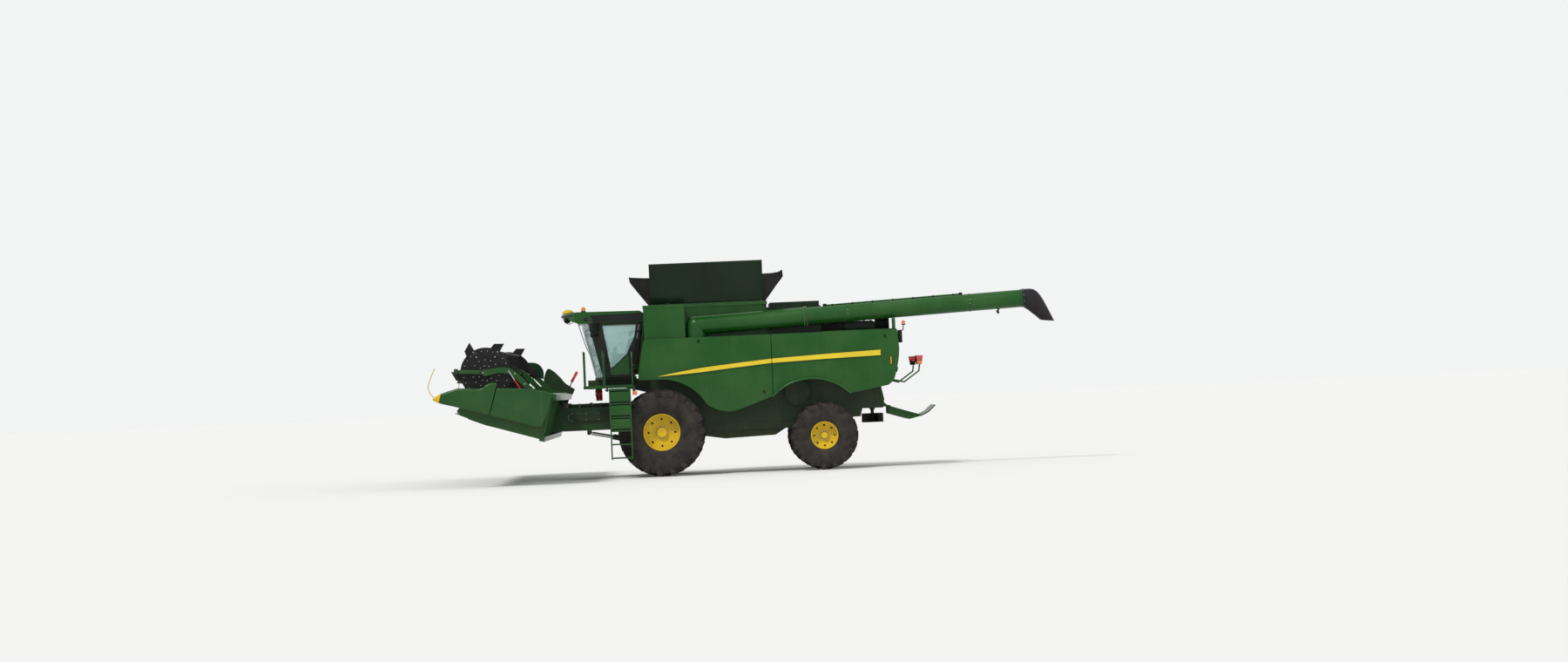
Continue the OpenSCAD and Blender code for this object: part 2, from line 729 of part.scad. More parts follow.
module cab_frame() framed() color(green) {
    // Floor with its curved nose
    translate([0, 0, cab_floor - 60]) linear_extrude(60) union() {
        intersection() {
            translate([screen_r - 1560, 0]) circle(r = screen_r);
            translate([-1700, -cab_y]) square([400, 2 * cab_y]);
        }
        translate([-1301, -cab_y]) square([721, 2 * cab_y]);
    }
    // Side frames: pillars and a rail under the roof, and on the right a sill under the window
    for (left = [true, false])
        side(left) across(cab_y - pillar_t, cab_y - 1) union() {
            z0 = cab_floor - 2;
            f0 = pillar_x;
            f1 = pillar_x + pillar_t;
            polygon([
                [screen_x(f0, z0), z0], [screen_x(f1, z0), z0],
                [screen_x(f1, roof_z), roof_z], [screen_x(f0, roof_z), roof_z]
            ]);
            polygon([
                [rear_x(-669, z0), z0], [rear_x(-609, z0), z0],
                [rear_x(-609, roof_z), roof_z], [rear_x(-669, roof_z), roof_z]
            ]);
            translate([screen_x(f0 + 20, roof_z), roof_z - 40])
                square([rear_x(-630, roof_z) - screen_x(f0 + 20, roof_z), 40]);
            if (!left)
                translate([-1320, z0]) square([680, sill_z - z0]);
        }
    // Rear wall up to its window, and the rear rail under the roof
    across(-cab_y + 20, cab_y - 20) polygon([
        [rear_x(-650, cab_floor - 2), cab_floor - 2], [rear_x(-615, cab_floor - 2), cab_floor - 2],
        [rear_x(-615, wall_top), wall_top], [rear_x(-650, wall_top), wall_top]
    ]);
    block([-430, -375], [-cab_y + 20, cab_y - 20], [roof_z - 38, roof_z]);
    // Eyes of the door hinges
    for (z = [2620, 3450]) difference() {
        union() {
            pin_z(door_hinge[0], door_hinge[1], z - 30, z + 30, pin_r + 8);
            block([door_hinge[0] - 6, door_hinge[0] + 14], [door_hinge[1], -cab_y + 20], [z - 30, z + 30]);
            block([-660, door_hinge[0] + 14], [-cab_y - 1, -cab_y + 20], [z - 30, z + 30]);
        }
        pin_z(door_hinge[0], door_hinge[1], z - 31, z + 31, pin_r + pin_gap);
    }
}

module cab_glass() framed() color(clear) {
    // Windscreen
    intersection() {
        leaning() translate([0, 0, -200]) linear_extrude(1800) intersection() {
            translate([screen_r, 0]) difference() {
                circle(r = screen_r);
                circle(r = screen_r - glass_t);
            }
            translate([-100, -cab_y + 5]) square([400, 2 * cab_y - 10]);
        }
        block([-3000, 0], [-cab_y, cab_y], [cab_floor, roof_z]);
    }
    // Right side window
    across(cab_y - 40, cab_y - 40 + glass_t)
        polygon([
            [screen_x(pillar_x + pillar_t, sill_z) + 1, sill_z],
            [screen_x(pillar_x + pillar_t, roof_z - 40) + 1, roof_z - 40],
            [rear_x(-670, roof_z - 40), roof_z - 40], [rear_x(-670, sill_z), sill_z]
        ]);
    // Rear window
    across(-cab_y + pillar_t, cab_y - pillar_t) polygon([
        [rear_x(-645, wall_top), wall_top], [rear_x(-645 + glass_t, wall_top), wall_top],
        [rear_x(-645 + glass_t, roof_z - 38), roof_z - 38], [rear_x(-645, roof_z - 38), roof_z - 38]
    ]);
}

work_lamps = [180, 430, 680];
module cab_roof() framed() color(green) difference() {
    intersection() {
        across(-1010, 1010) polygon([
            [-345, roof_z], [-345, 3900], [-420, 3950], roof_crest, roof_brow, [-2290, 3930],
            [-2300, 3885], [-2260, 3850], [-1950, 3740], [-1900, roof_z]
        ]);
        translate([0, 0, roof_z - 10]) linear_extrude(400) union() {
            intersection() {
                translate([-2305 + 1700, 0]) circle(r = 1700);
                translate([-2400, -1005]) square([800, 2010]);
            }
            translate([-1650, -1005]) square([1400, 2010]);
        }
    }
    // Pockets of the work lamps
    both() for (y = work_lamps)
        pin_x(y, 3800, -2400, -2120, 62);
}

module cab_interior() framed() color(black) {
    seat = [-920, 0];
    pin_z(seat[0], 0, cab_floor, 2620, 130);
    block([-1160, -700], [-240, 240], [2619, 2750]);
    translate([-740, 0, 2700]) rotate([0, 10, 0]) translate([0, -220, 0]) cube([110, 440, 640]);
    block([-1150, -760], [290, 420], [cab_floor, 2960]);
    // Steering column and wheel
    bar([-1440, 0, cab_floor + 8], [-1340, 0, 3000], 45);
    translate([-1340, 0, 3000]) rotate([0, 10 - 30, 0]) {
        rotate_extrude() translate([190, 0]) circle(r = 14);
        cylinder(h = 30, r = 45, center = true);
        for (a = [90, 210, 330])
            rotate([0, 0, a]) translate([0, -15, -6]) cube([190, 30, 12]);
    }
    // Screen on its stalk
    bar([-1150, 340, 2940], [-1250, 420, 3120], 14);
    block([-1290, -1250], [330, 610], [3090, 3290]);
}

// Left door

door_outline = [[-1290, cab_floor], [-1588, roof_z - 20], [-445, roof_z - 20], [-680, cab_floor]];
door_window = [[-1165, 2600], [-1330, 3640], [-505, 3640], [-560, 3340], [-760, 2920], [-1090, 2630]];
// Where a hinge strap starts, just inside the door's sloping rear edge
function strap_x(z) = -700 + 235 * (z - cab_floor) / (roof_z - 20 - cab_floor);

module cab_door() framed() color(green) {
    y0 = -cab_y - gap - door_t;
    difference() {
        across(y0, y0 + door_t) polygon(door_outline);
        across(y0 - 1, y0 + door_t + 1) polygon(door_window);
    }
    for (z = [2620, 3450]) {
        pin_z(door_hinge[0], door_hinge[1], z - 45, z + 45, pin_r);
        for (e = [-45, 35])
            block([strap_x(z), door_hinge[0]], [y0 + 1, y0 + door_t - 1], [z + e, z + e + 10]);
    }
}

module cab_door_glass() framed() color(clear) {
    y = -cab_y - gap - door_t / 2;
    across(y - glass_t / 2, y + glass_t / 2) polygon(door_window);
}

module mirrors() framed() color(black) both() {
    rail([[-1700, 1005.3, 3800], [-1700, 1500, 3790], [-1560, 1900, 3760], [-1500, 1920, 3600]], 16);
    translate([-1480, 1930, 3515]) rotate([0, 0, 30]) translate([-60, -140, -175]) cube([110, 280, 350]);
}

// Platform and ladder

module platform() framed() color(black) {
    block([-1790, -620], [-1870, -955], [2160, 2200]);
    rail([
        [-1290, -1850, 2180], [-1290, -1850, 2880], [-1330, -1800, 3010], [-1330, -1540, 3010],
        [-1330, -1540, 2180]
    ], 17);
    rail([
        [-640, -1850, 2180], [-640, -1850, 2850], [-640, -1800, 2960], [-640, -1680, 2960],
        [-640, -1680, 2180]
    ], 17);
    rail([[-1770, -1850, 2180], [-1770, -1850, 3000], [-1770, -1100, 3000], [-1770, -1100, 2180]], 17);
    rail([[-1770, -1850, 2600], [-1770, -1100, 2600]], 14);
    pin_z(ladder_hinge[0], ladder_hinge[1], 2050, 2161, ladder_pin_r);
    // Extinguisher
    pin_z(-1450, -1200, 1850, 2161, 75);
}

module ladder() framed() color(black) difference() {
    x0 = -1200;
    x1 = -690;
    y0 = -2110;
    y1 = -1925;
    union() {
        for (x = [x0, x1 - 30])
            block([x, x + 30], [y0, y1], [450, 2120]);
        for (i = [0:5])
            block([x0, x1], [y0, y1], [470 + i * 320, 495 + i * 320]);
        block([x0, x1], [y1 - 12, y1], [1100, 2120]);
        translate([0, 0, 2070]) linear_extrude(35) union() {
            polygon([
                [ladder_hinge[0] - 50, ladder_hinge[1]], [ladder_hinge[0] + 50, ladder_hinge[1] + 30],
                [x1, y1 - 10], [x0, y1 - 10]
            ]);
            translate(ladder_hinge) circle(r = 50);
        }
    }
    pin_z(ladder_hinge[0], ladder_hinge[1], 2000, 2200, ladder_pin_r + pin_gap);
}

module lamps() framed() color([0.9, 0.9, 0.85]) {
    // Work lamps in the visor
    both() for (y = work_lamps)
        pin_x(y, 3800, -2220, -2120, 58);
    // Tail lamps on their arms, and on the sloping rear face
    both() block([6130, 6190], [1230, 1440], [2393, 2600]);
    both() for (y = [1080, 1250])
        translate([tail_x - 43, y, 2300]) rotate([0, 105.07, 0]) cylinder(h = 30, r = 60);
    // Beacons
    pin_z(-1760, -700, 3969, 4090, 55);
    pin_z(tail_x - 110, 1200, 3270, 3420, 55);
    // Receiver dome, tilted to lie on the roof's slope
    translate([dome_x, 0, roof_brow[1] + roof_rise * (dome_x - roof_brow[0]) + fit])
        rotate([0, -atan(roof_rise), 0]) cylinder(h = dome_h, r = dome_r);
}

// Feeder house

module feeder_house() framed() color(green) {
    difference() {
        union() {
            across(-feeder_y, feeder_y)
                polygon([[-310, 1790], [-310, 1700], [-600, 1150], [-2900, 1150], [-2900, 1790]]);
            pin_y(pivot, -core_y - 40, core_y + 40, pivot_r);
            for (x = [-2200, -1700, -1200, -700])
                block([x, x + 40], [-feeder_y + 2, feeder_y - 2], [1789, 1812]);
            across(-feeder_y - 45, -feeder_y + 1) link([-850, 1500], [-2150, 1470], 230);
            both() for (y = [lift_y - 55, lift_y + 30])
                across(y, y + 25) link(lift_eye, [-1750, 1175], 90);
            both() pin_y(lift_eye, lift_y - 55, lift_y + 55, lift_pin_r);
        }
        difference() {
            across(-feeder_y + feeder_t, feeder_y - feeder_t) polygon([
                [-250, 1790 - feeder_t], [-250, 1660], [-560, 1150 + feeder_t], [-3000, 1150 + feeder_t],
                [-3000, 1790 - feeder_t]
            ]);
            pin_y(pivot, -feeder_y, feeder_y, pivot_r);
        }
        // The header's back stands against the front face
        translate([pivot[0], 0, pivot[1]]) rotate([0, lift, 0]) translate([-pivot[0], 0, -pivot[1]])
            block([back_x - 900, back_x], [-900, 900], [0, 2000]);
    }
}

// Header, in its level frame

module end_outline()
    union() {
        polygon([
            [back_x, 400], [back_x, 1470], [-3100, 1410], [-3660, 1270], [-4330, 700], [-4400, 560],
            [-4300, 480], [-3600, 410]
        ]);
        translate(arm_at) circle(r = 60);
    }

module header_frame() on_header() color(green) {
    difference() {
        union() {
            block([back_x - 30, back_x], [-header_y, header_y], [floor_z - 20, 1420]);
            block([back_x - 20, back_x + 120], [-header_y, header_y], [1330, 1470]);
            block([back_x - 20, back_x + 100], [-header_y, header_y], [360, 480]);
            difference() {
                across(-header_y, header_y) polygon([
                    [back_x - 20, 430], [back_x - 20, 800], [-3330, 600], [knife_x, 507],
                    [knife_x, 490], [-3500, 430]
                ]);
                pin_y(auger_at, -header_y - 1, header_y + 1, flight_r + 25);
            }
            both() for (y = [1000:860:header_y - 20])
                block([back_x - 1, back_x + 70], [y, y + 14], [470, 1340]);
            both() for (y = [1500, 3300, 5000])
                across(y, y + 220) polygon([
                    [-4180, 486], [-4100, 442], [-3700, 405], [-3350, 405], [-3300, 435], [-3490, 435],
                    [-4180, 490]
                ]);
            both() across(header_y - 1, header_y + 20) end_outline();
            both() pin_y(arm_at, arm_y - gap, header_y, arm_pin_r);
            both() pin_y(reel_base, reel_cyl_y - 20, header_y, reel_pin_r);
            // Bracket of the middle reel arm
            for (y = [-60, 40])
                across(y, y + 20) polygon([
                    [back_x - 20, 1340], [back_x - 20, 1500],
                    arm_at + [0, 60], arm_at + [-60, 0], arm_at + [0, -60]
                ]);
            pin_y(arm_at, -60, 60, arm_pin_r);
        }
        // Way into the feeder, through the floor's raised rear edge and the back sheet
        block([back_x - 400, back_x + 1], [-feeder_y + feeder_t, feeder_y - feeder_t], [560, 1140]);
        both() pin_y(auger_at, header_y - 2, header_y + 21, auger_shaft_r + pin_gap);
    }
}

module header_dividers() on_header() color(green) both() {
    y0 = header_y + 20;
    y1 = y0 + divider_w;
    across(y0, y1) polygon([
        [-3650, 1280], [-3110, 1410], [-2590, 1476], [-2390, 1458], [-2390, 1080], [-2450, 690],
        [-2600, 652], [-3650, 644]
    ]);
    intersection() {
        across(y0, y1) polygon([
            [-3650, 644], [-3650, 1400], [-3690, 1400], [-3790, 1375], [-3900, 1300], [-3990, 1180],
            [-4500, 1070], [-4850, 840], [-4980, 690], [-4800, 630], [-4360, 647]
        ]);
        translate([0, 0, 500]) linear_extrude(1000) polygon([
            [-3600, y0], [-3600, y1], [-4100, y1], [-4981, y0 + 110], [-4981, y0 + 50], [-4100, y0]
        ]);
    }
    rail([[-4874, y0 + 80, 720], [guide_tip[0], y0 + 80, guide_tip[1]], [-5113, y0 + 80, 1373]], guide_r);
}

// A helical plate about the z axis that rises from z = 0
flight_steps = 24;
module flight(turns, hand) {
    n = round(turns * flight_steps);
    r0 = (drum_r + fit) / cos(180 / flight_steps);
    ring = [[r0, 0], [flight_r, 0], [flight_r, flight_t], [r0, flight_t]];
    points = [
        for (i = [0:n], c = ring)
            let (a = hand * i * 360 / flight_steps)
                [c[0] * cos(a), c[0] * sin(a), i * flight_pitch / flight_steps + c[1]]
    ];
    sides = [
        for (i = [0:n - 1], k = [0:3])
            let (a = 4 * i + k, b = 4 * i + (k + 1) % 4)
                each [[a, b, b + 4], [a, b + 4, a + 4]]
    ];
    ends = [[3, 2, 1], [3, 1, 0], [4 * n, 4 * n + 1, 4 * n + 2], [4 * n, 4 * n + 2, 4 * n + 3]];
    faces = concat(sides, ends);
    polyhedron(points, hand > 0 ? faces : [for (f = faces) [f[2], f[1], f[0]]]);
}

module header_auger() on_header() color(steel) {
    reach = header_y - 40;
    turns = (reach - 500) / flight_pitch;
    pin_y(auger_at, -reach, reach, drum_r);
    both() pin_y(auger_at, reach - 1, header_y + 20, auger_shaft_r);
    translate([auger_at[0], -reach + 10, auger_at[1]]) rotate([-90, 0, 0]) flight(turns, 1);
    mirror([0, 1, 0]) translate([auger_at[0], -reach + 10, auger_at[1]]) rotate([-90, 0, 0]) flight(turns, 1);
    // Feeding fingers in the middle
    for (i = [0:9])
        translate([auger_at[0], -450 + i * 100, auger_at[1]]) rotate([0, i * 110, 0])
            cylinder(h = flight_r - 5, r = 9);
}

module cutterbar() on_header() color(steel) {
    n = floor(2 * (header_y - 10) / guard_pitch);
    y0 = -n * guard_pitch / 2;
    root = knife_x - 55;
    teeth = [
        for (i = [0:n - 1])
            let (y = y0 + i * guard_pitch)
                each [
                    [root, y + 0.22 * guard_pitch],
                    [root - guard_len, y + 0.46 * guard_pitch],
                    [root - guard_len, y + 0.54 * guard_pitch],
                    [root, y + 0.78 * guard_pitch]
                ]
    ];
    translate([0, 0, 486]) linear_extrude(22)
        polygon(concat([[knife_x, y0], [root, y0]], teeth, [[root, -y0], [knife_x, -y0]]));
}

// Reel

module arm_profile()
    difference() {
        union() {
            link(arm_at, [-3500, 1740], 110);
            link([-3500, 1740], [-3980, 1580], 100);
            link([-3980, 1580], [-4650, 1430], 64);
            translate(reel_at) circle(r = 75);
        }
        translate(arm_at) circle(r = arm_pin_r + pin_gap);
        translate(reel_at) circle(r = reel_shaft_r + pin_gap);
    }

module reel_arms() on_header() color(green) {
    both() across(arm_y, arm_y + arm_t) arm_profile();
    across(-30, 30) arm_profile();
    both() pin_y(reel_eye, arm_y + arm_t - 1, reel_cyl_y + 20, reel_pin_r);
}

module comb(y0, y1) {
    n = floor((y1 - y0) / tine_pitch);
    tines = [
        for (i = [0:n - 1])
            let (y = y0 + (i + 0.5) * tine_pitch)
                each [[y - 5, -40], [y - 4, -tine_len], [y + 4, -tine_len], [y + 5, -40]]
    ];
    along(-4, 4) polygon(concat([[y1, -40], [y1, 0], [y0, 0], [y0, -40]], tines));
}

module reel() on_header() color(black) {
    reach = arm_y - 20;
    translate([reel_at[0], 0, reel_at[1]]) {
        both() {
            pin_y([0, 0], 30 + gap, reach, 80);
            for (y = [30 + gap, 1750, 3500, reach - 12])
                pin_y([0, 0], y, y + 12, y > reach - 20 ? 580 : 200);
            for (i = [0:bats - 1]) {
                a = i * 360 / bats + 15;
                at = bat_r * [sin(a), cos(a)];
                pin_y(at, 30 + gap, reach, 24);
                translate([at[0], 0, at[1]]) rotate([0, 12, 0]) comb(60, reach - 20);
                for (y = [36 + gap, 1750, 3500])
                    across(y, y + 12) link([0, 0], at, 50);
                rotate([0, a, 0]) across(reach - 24, reach - 6)
                    polygon([[-195, 470], [39, 520], [36, 785], [-162, 671]]);
            }
        }
        pin_y([0, 0], -arm_y - arm_t + 1, arm_y + arm_t - 1, reel_shaft_r);
    }
}

// Cylinders: a barrel from its base pin, and a rod to its eye, each with a neck beside the plates
// that it sits between

function on_line(p, q, y, d) =
    let (u = (q - p) / norm(q - p)) [p[0] + u[0] * d, y, p[1] + u[1] * d];

module barrel(p, q, y, r, neck, len, eye_r, hole_r, bore_r, t)
    difference() {
        union() {
            pin_y(p, y - t, y + t, eye_r);
            bar(on_line(p, q, y, eye_r * 0.8), on_line(p, q, y, neck + 1), t - 2);
            bar(on_line(p, q, y, neck), on_line(p, q, y, len), r);
        }
        bar(on_line(p, q, y, neck + 20), on_line(p, q, y, len + 1), bore_r);
        pin_y(p, y - t - 1, y + t + 1, hole_r);
    }

module rod(p, q, y, r, start, neck, neck_r, eye_r, hole_r, t) {
    reach = norm(q - p);
    difference() {
        union() {
            pin_y(q, y - t, y + t, eye_r);
            bar(on_line(p, q, y, start), on_line(p, q, y, reach - neck), r);
            bar(on_line(p, q, y, reach - neck - 1), on_line(p, q, y, reach - eye_r * 0.8), neck_r);
        }
        pin_y(q, y - t - 1, y + t + 1, hole_r);
    }
}

module lift_barrels() framed() color(green)
    both() barrel(lift_base, lift_eye, lift_y, 60, 85, 1060, 48, lift_pin_r + pin_gap, 36, 24);
module lift_rods() framed() color(steel)
    both() rod(lift_base, lift_eye, lift_y, 35, 640, 65, 22, 45, lift_pin_r + lift_drift, 24);
module reel_barrels() on_header() color(red)
    both() barrel(reel_base, reel_eye, reel_cyl_y, 20, 30, 480, 22, reel_pin_r + pin_gap, 11, 15);
module reel_rods() on_header() color(steel)
    both() rod(reel_base, reel_eye, reel_cyl_y, 10.5, 260, 30, 9, 22, reel_pin_r + reel_drift, 15);

// Unloading auger

module on_tube()
    framed() translate([turret_x, -turret_y, tube_z]) rotate([0, -tube_rise, 0]) children();

module unloader_tube() color(green) {
    ring_x = 2600;
    framed() difference() {
        union() {
            pin_z(turret_x, -turret_y, shield_top + 12 + fit, tube_z, tube_r + 8);
            translate([turret_x, -turret_y, tube_z]) sphere(r = tube_r + 8);
        }
        pin_z(turret_x, -turret_y, shield_top - 1, shield_top + turret_pin_h + gap, turret_pin_r + 6 * pin_gap);
    }
    on_tube() {
        pin_x(0, 0, 0, ring_x, tube_r);
        pin_x(0, 0, ring_x - 30, ring_x + 30, tube_r + 16);
        pin_x(0, 0, ring_x, tube_len, tube_end_r);
        for (x = [ring_x + 1000, ring_x + 3900, tube_len - 40])
            pin_x(0, 0, x, x + 24, tube_end_r + 9);
        pin_x(0, tube_end_r + 14, ring_x + 500, ring_x + 3700, 18);
    }
}

module unloader_spout() on_tube() color(black)
    translate([tube_len, 0, 0]) {
        translate([0, 0, -spout_bend_r]) rotate([90, 0, 0]) rotate([0, 0, 90 - spout_bend])
            rotate_extrude(angle = spout_bend, $fn = 160) translate([spout_bend_r, 0]) difference() {
                circle(r = tube_end_r);
                circle(r = tube_end_r - 14);
            }
        translate([spout_bend_r * sin(spout_bend), 0, -spout_bend_r * (1 - cos(spout_bend))])
            rotate([0, 90 + spout_bend, 0]) difference() {
                cylinder(h = spout_drop, r = tube_end_r);
                translate([0, 0, -1]) cylinder(h = spout_drop + 2, r = tube_end_r - 14);
            }
    }

// Straw chopper, tailboard and spreaders

module straw_chopper() framed() color(green) difference() {
    union() {
        across(-core_y, core_y) polygon([
            [chopper_x0, 1210], [chopper_x0, 1950], [5250, 1950], [5320, 1600], [5290, chopper_base],
            [4790, chopper_base], [4740, 1210]
        ]);
        both() across(core_y - 30, core_y) link([5290, 1500], board_hinge, 70);
        both() pin_y(board_hinge, core_y - 30, core_y + 30, pin_r);
        both() pin_z(spreader_at[0], spreader_at[1], chopper_base - 40, chopper_base + 1, 50);
    }
    both()
        pin_z(spreader_at[0], spreader_at[1], chopper_base - 45, chopper_base + 60, spreader_shaft_r + pin_gap);
}

module tailboard() framed() color(green) difference() {
    union() {
        across(-850, 850) polygon([
            [5390, 1420], [5700, 1310], [6180, 1160], [6360, 1245], [6530, 1400], [6515, 1420],
            [6350, 1275], [6180, 1195], [5700, 1345], [5390, 1450]
        ]);
        for (y = [-800, -480, -160, 160, 480, 800])
            across(y - 6, y + 6)
                polygon([[5420, 1420], [5420, 1250], [5900, 1100], [6180, 1165], [5700, 1320]]);
        both() across(core_y + gap, core_y + 30) link(board_hinge, [5440, 1425], 50);
    }
    both() pin_y(board_hinge, core_y, core_y + 31, pin_r + pin_gap);
}

module spreader() {
    pin_z(spreader_at[0], spreader_at[1], 1060, chopper_base + 50, spreader_shaft_r);
    pin_z(spreader_at[0], spreader_at[1], 1060, 1072, 250);
    for (a = [0:60:300])
        translate([spreader_at[0], spreader_at[1], 1071]) rotate([0, 0, a])
            translate([20, -4, 0]) cube([225, 8, 200]);
}

module spreader_left() framed() color(black) side(true) spreader();
module spreader_right() framed() color(black) spreader();

chassis_frame();
rear_axle();
threshing_body();
rear_hood();
engine_hood();
engine_block();
grain_tank();
tank_wings();
tank_cover_left();
tank_cover_right();
shield_front_left();
shield_rear_left();
shield_front_right();
shield_rear_right();
cab_frame();
cab_glass();
cab_roof();
cab_interior();
cab_door();
cab_door_glass();
mirrors();
platform();
ladder();
lamps();
feeder_house();
header_frame();
header_dividers();
header_auger();
cutterbar();
reel_arms();
reel();
lift_barrels();
lift_rods();
reel_barrels();
reel_rods();
tyre_front_left();
tyre_front_right();
rim_front_left();
rim_front_right();
knuckle_left();
knuckle_right();
tie_rod();
tyre_rear_left();
tyre_rear_right();
rim_rear_left();
rim_rear_right();
unloader_tube();
unloader_spout();
straw_chopper();
tailboard();
spreader_left();
spreader_right();
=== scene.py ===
# %% [markdown]
# A combine harvester with its grain header raised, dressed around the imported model.
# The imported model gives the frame: every piece below is placed by the same measures as the solids.

# %% The frame
import math

import bmesh
import bpy
import numpy as np
from mathutils import Matrix, Vector


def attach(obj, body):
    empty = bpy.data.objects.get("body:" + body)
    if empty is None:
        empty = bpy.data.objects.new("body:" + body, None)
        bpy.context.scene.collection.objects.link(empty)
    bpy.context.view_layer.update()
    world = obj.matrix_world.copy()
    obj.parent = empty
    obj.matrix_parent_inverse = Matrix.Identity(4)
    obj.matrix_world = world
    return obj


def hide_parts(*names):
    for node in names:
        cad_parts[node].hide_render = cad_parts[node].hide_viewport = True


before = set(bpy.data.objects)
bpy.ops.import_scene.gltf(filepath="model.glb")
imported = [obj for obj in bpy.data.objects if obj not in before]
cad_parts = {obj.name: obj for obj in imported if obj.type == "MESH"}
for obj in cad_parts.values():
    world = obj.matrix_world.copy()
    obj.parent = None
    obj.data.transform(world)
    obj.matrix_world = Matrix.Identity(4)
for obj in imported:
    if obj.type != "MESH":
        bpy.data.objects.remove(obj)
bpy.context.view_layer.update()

# %% [markdown]
# The machine is drawn in its own measures first: x counts from the front axle towards the rear, z from
# the ground. One shift along x brings that into the frame, whose middle is the middle of the machine's
# box. The header is drawn level and then turned up about the feeder's pivot, as the real one is lifted.

# %% Places that many pieces share
MIDDLE = 2.112897
PIVOT = Vector((-0.35, 0.0, 1.75))
LIFT = 16.5
WHEELBASE = 3.83
SIDES = (("left", -1), ("right", 1))


def shift(x, y, z):
    return Matrix.Translation((x, y, z))


def turn(degrees, axis):
    return Matrix.Rotation(math.radians(degrees), 4, axis)


def around(count, start=0.0):
    """Even angles of one full turn."""
    return [2 * math.pi * (k + start) / count for k in range(count)]


def added(name, data):
    made = bpy.data.objects.new(name, data)
    bpy.context.scene.collection.objects.link(made)
    return made


to_frame = shift(-MIDDLE, 0, 0)
to_header = to_frame @ shift(*PIVOT) @ turn(LIFT, "Y") @ shift(*-PIVOT)

# %% [markdown]
# The camera stands far to the machine's left with a long lens, a little above the crop, as a person with
# a telephoto lens would. It leans by the slope that the machine drives down. Two soft suns and a pale sky
# give plain studio light.

# %% Camera and light
FOCAL_PX, PHOTO_WIDTH, SENSOR = 4400.0, 1800.0, 36.0
CAMERA_SPOT = (-1.18, -92.07, 2.0)
camera_data = bpy.data.cameras.new("camera")
camera_data.sensor_width = SENSOR
camera_data.lens = SENSOR * FOCAL_PX / PHOTO_WIDTH
camera_data.clip_start, camera_data.clip_end = 1.0, 2000.0
camera = added("camera", camera_data)
yaw, pitch, roll = math.radians(1.295), math.radians(0.829), math.radians(-2.445)
forward = Vector((math.sin(yaw) * math.cos(pitch), math.cos(yaw) * math.cos(pitch), math.sin(pitch)))
right = forward.cross(Vector((0, 0, 1))).normalized()
up = right.cross(forward)
right, up = (right * math.cos(roll) + up * math.sin(roll), up * math.cos(roll) - right * math.sin(roll))
camera.matrix_world = Matrix.Translation(CAMERA_SPOT) @ Matrix((right, up, -forward)).transposed().to_4x4()
bpy.context.scene.camera = camera


def sun(name, strength, angle, azimuth, height, colour):
    data = bpy.data.lights.new(name, "SUN")
    data.energy, data.angle, data.color = strength, math.radians(angle), colour
    a, h = math.radians(azimuth), math.radians(height)
    towards = Vector((math.sin(a) * math.cos(h), -math.cos(a) * math.cos(h), math.sin(h)))
    added(name, data).rotation_euler = towards.to_track_quat("Z", "Y").to_euler()


sun("key_light", 1.9, 12, -38, 52, (1.0, 0.985, 0.96))
sun("fill_light", 0.5, 60, 55, 30, (0.93, 0.97, 1.0))

world = bpy.data.worlds.new("pale_sky")
world.use_nodes = True
bpy.context.scene.world = world
bpy.context.scene.view_settings.view_transform = "Standard"

# %% [markdown]
# Finishes are written as sums. A small class wraps a socket, so that `1 - mask` or `dust * 0.4` adds the
# Math nodes, and one method makes every other node from its type and its sockets.

# %% The wrapped socket and the finish
def plug(tree, socket, value):
    if isinstance(value, Wire):
        tree.links.new(value.socket, socket)
    else:
        socket.default_value = value


class Wire:
    def __init__(self, tree, socket):
        self.tree, self.socket = tree, socket

    def math(self, operation, *values):
        node = self.tree.nodes.new("ShaderNodeMath")
        node.operation = operation
        for socket, value in zip(node.inputs, values):
            plug(self.tree, socket, value)
        return Wire(self.tree, node.outputs[0])

    def __add__(self, other):
        return self.math("ADD", self, other)

    def __sub__(self, other):
        return self.math("SUBTRACT", self, other)

    def __rsub__(self, other):
        return self.math("SUBTRACT", other, self)

    def __mul__(self, other):
        return self.math("MULTIPLY", self, other)

    def ramp(self, low, high):
        node = self.tree.nodes.new("ShaderNodeMapRange")
        for name, value in (("Value", self), ("From Min", low), ("From Max", high)):
            plug(self.tree, node.inputs[name], value)
        return Wire(self.tree, node.outputs["Result"])

    def sine(self):
        return self.math("SINE", self)

    def most(self, other):
        return self.math("MAXIMUM", self, other)


class Finish:
    def __init__(self, name, **sockets):
        self.material = bpy.data.materials.new(name)
        self.material.use_nodes = True
        self.tree = self.material.node_tree
        self.shader = self.tree.nodes["Principled BSDF"]
        for socket, value in sockets.items():
            self.set(socket.replace("_", " "), value)

    def set(self, socket, value):
        plug(self.tree, self.shader.inputs[socket], value)

    def node(self, kind, output, **sockets):
        node = self.tree.nodes.new(kind)
        for socket, value in sockets.items():
            plug(self.tree, node.inputs[socket], value)
        return Wire(self.tree, node.outputs[output])

    def place(self):
        return self.node("ShaderNodeTexCoord", "Object")

    def axis(self, letter):
        return self.node("ShaderNodeSeparateXYZ", letter, Vector=self.place())

    def noise(self, scale, detail=4.0, roughness=0.55, place=None):
        return self.node(
            "ShaderNodeTexNoise", "Fac", Vector=place or self.place(), Scale=scale, Detail=detail, Roughness=roughness
        )

    def stretched(self, x, y, z):
        return self.node("ShaderNodeMapping", "Vector", Vector=self.place(), Scale=(x, y, z))

    def mix(self, factor, a, b):
        node = self.tree.nodes.new("ShaderNodeMix")
        node.data_type = "RGBA"
        plug(self.tree, node.inputs[0], factor)
        for socket, value in zip(node.inputs[6:8], (a, b)):
            plug(self.tree, socket, value if isinstance(value, Wire) else (*value, 1.0))
        return Wire(self.tree, node.outputs[2])

    def bump(self, height, distance):
        self.set("Normal", self.node("ShaderNodeBump", "Normal", Height=height, Distance=distance))


def shade(colour, by):
    return tuple(min(1.0, c * by) for c in colour)


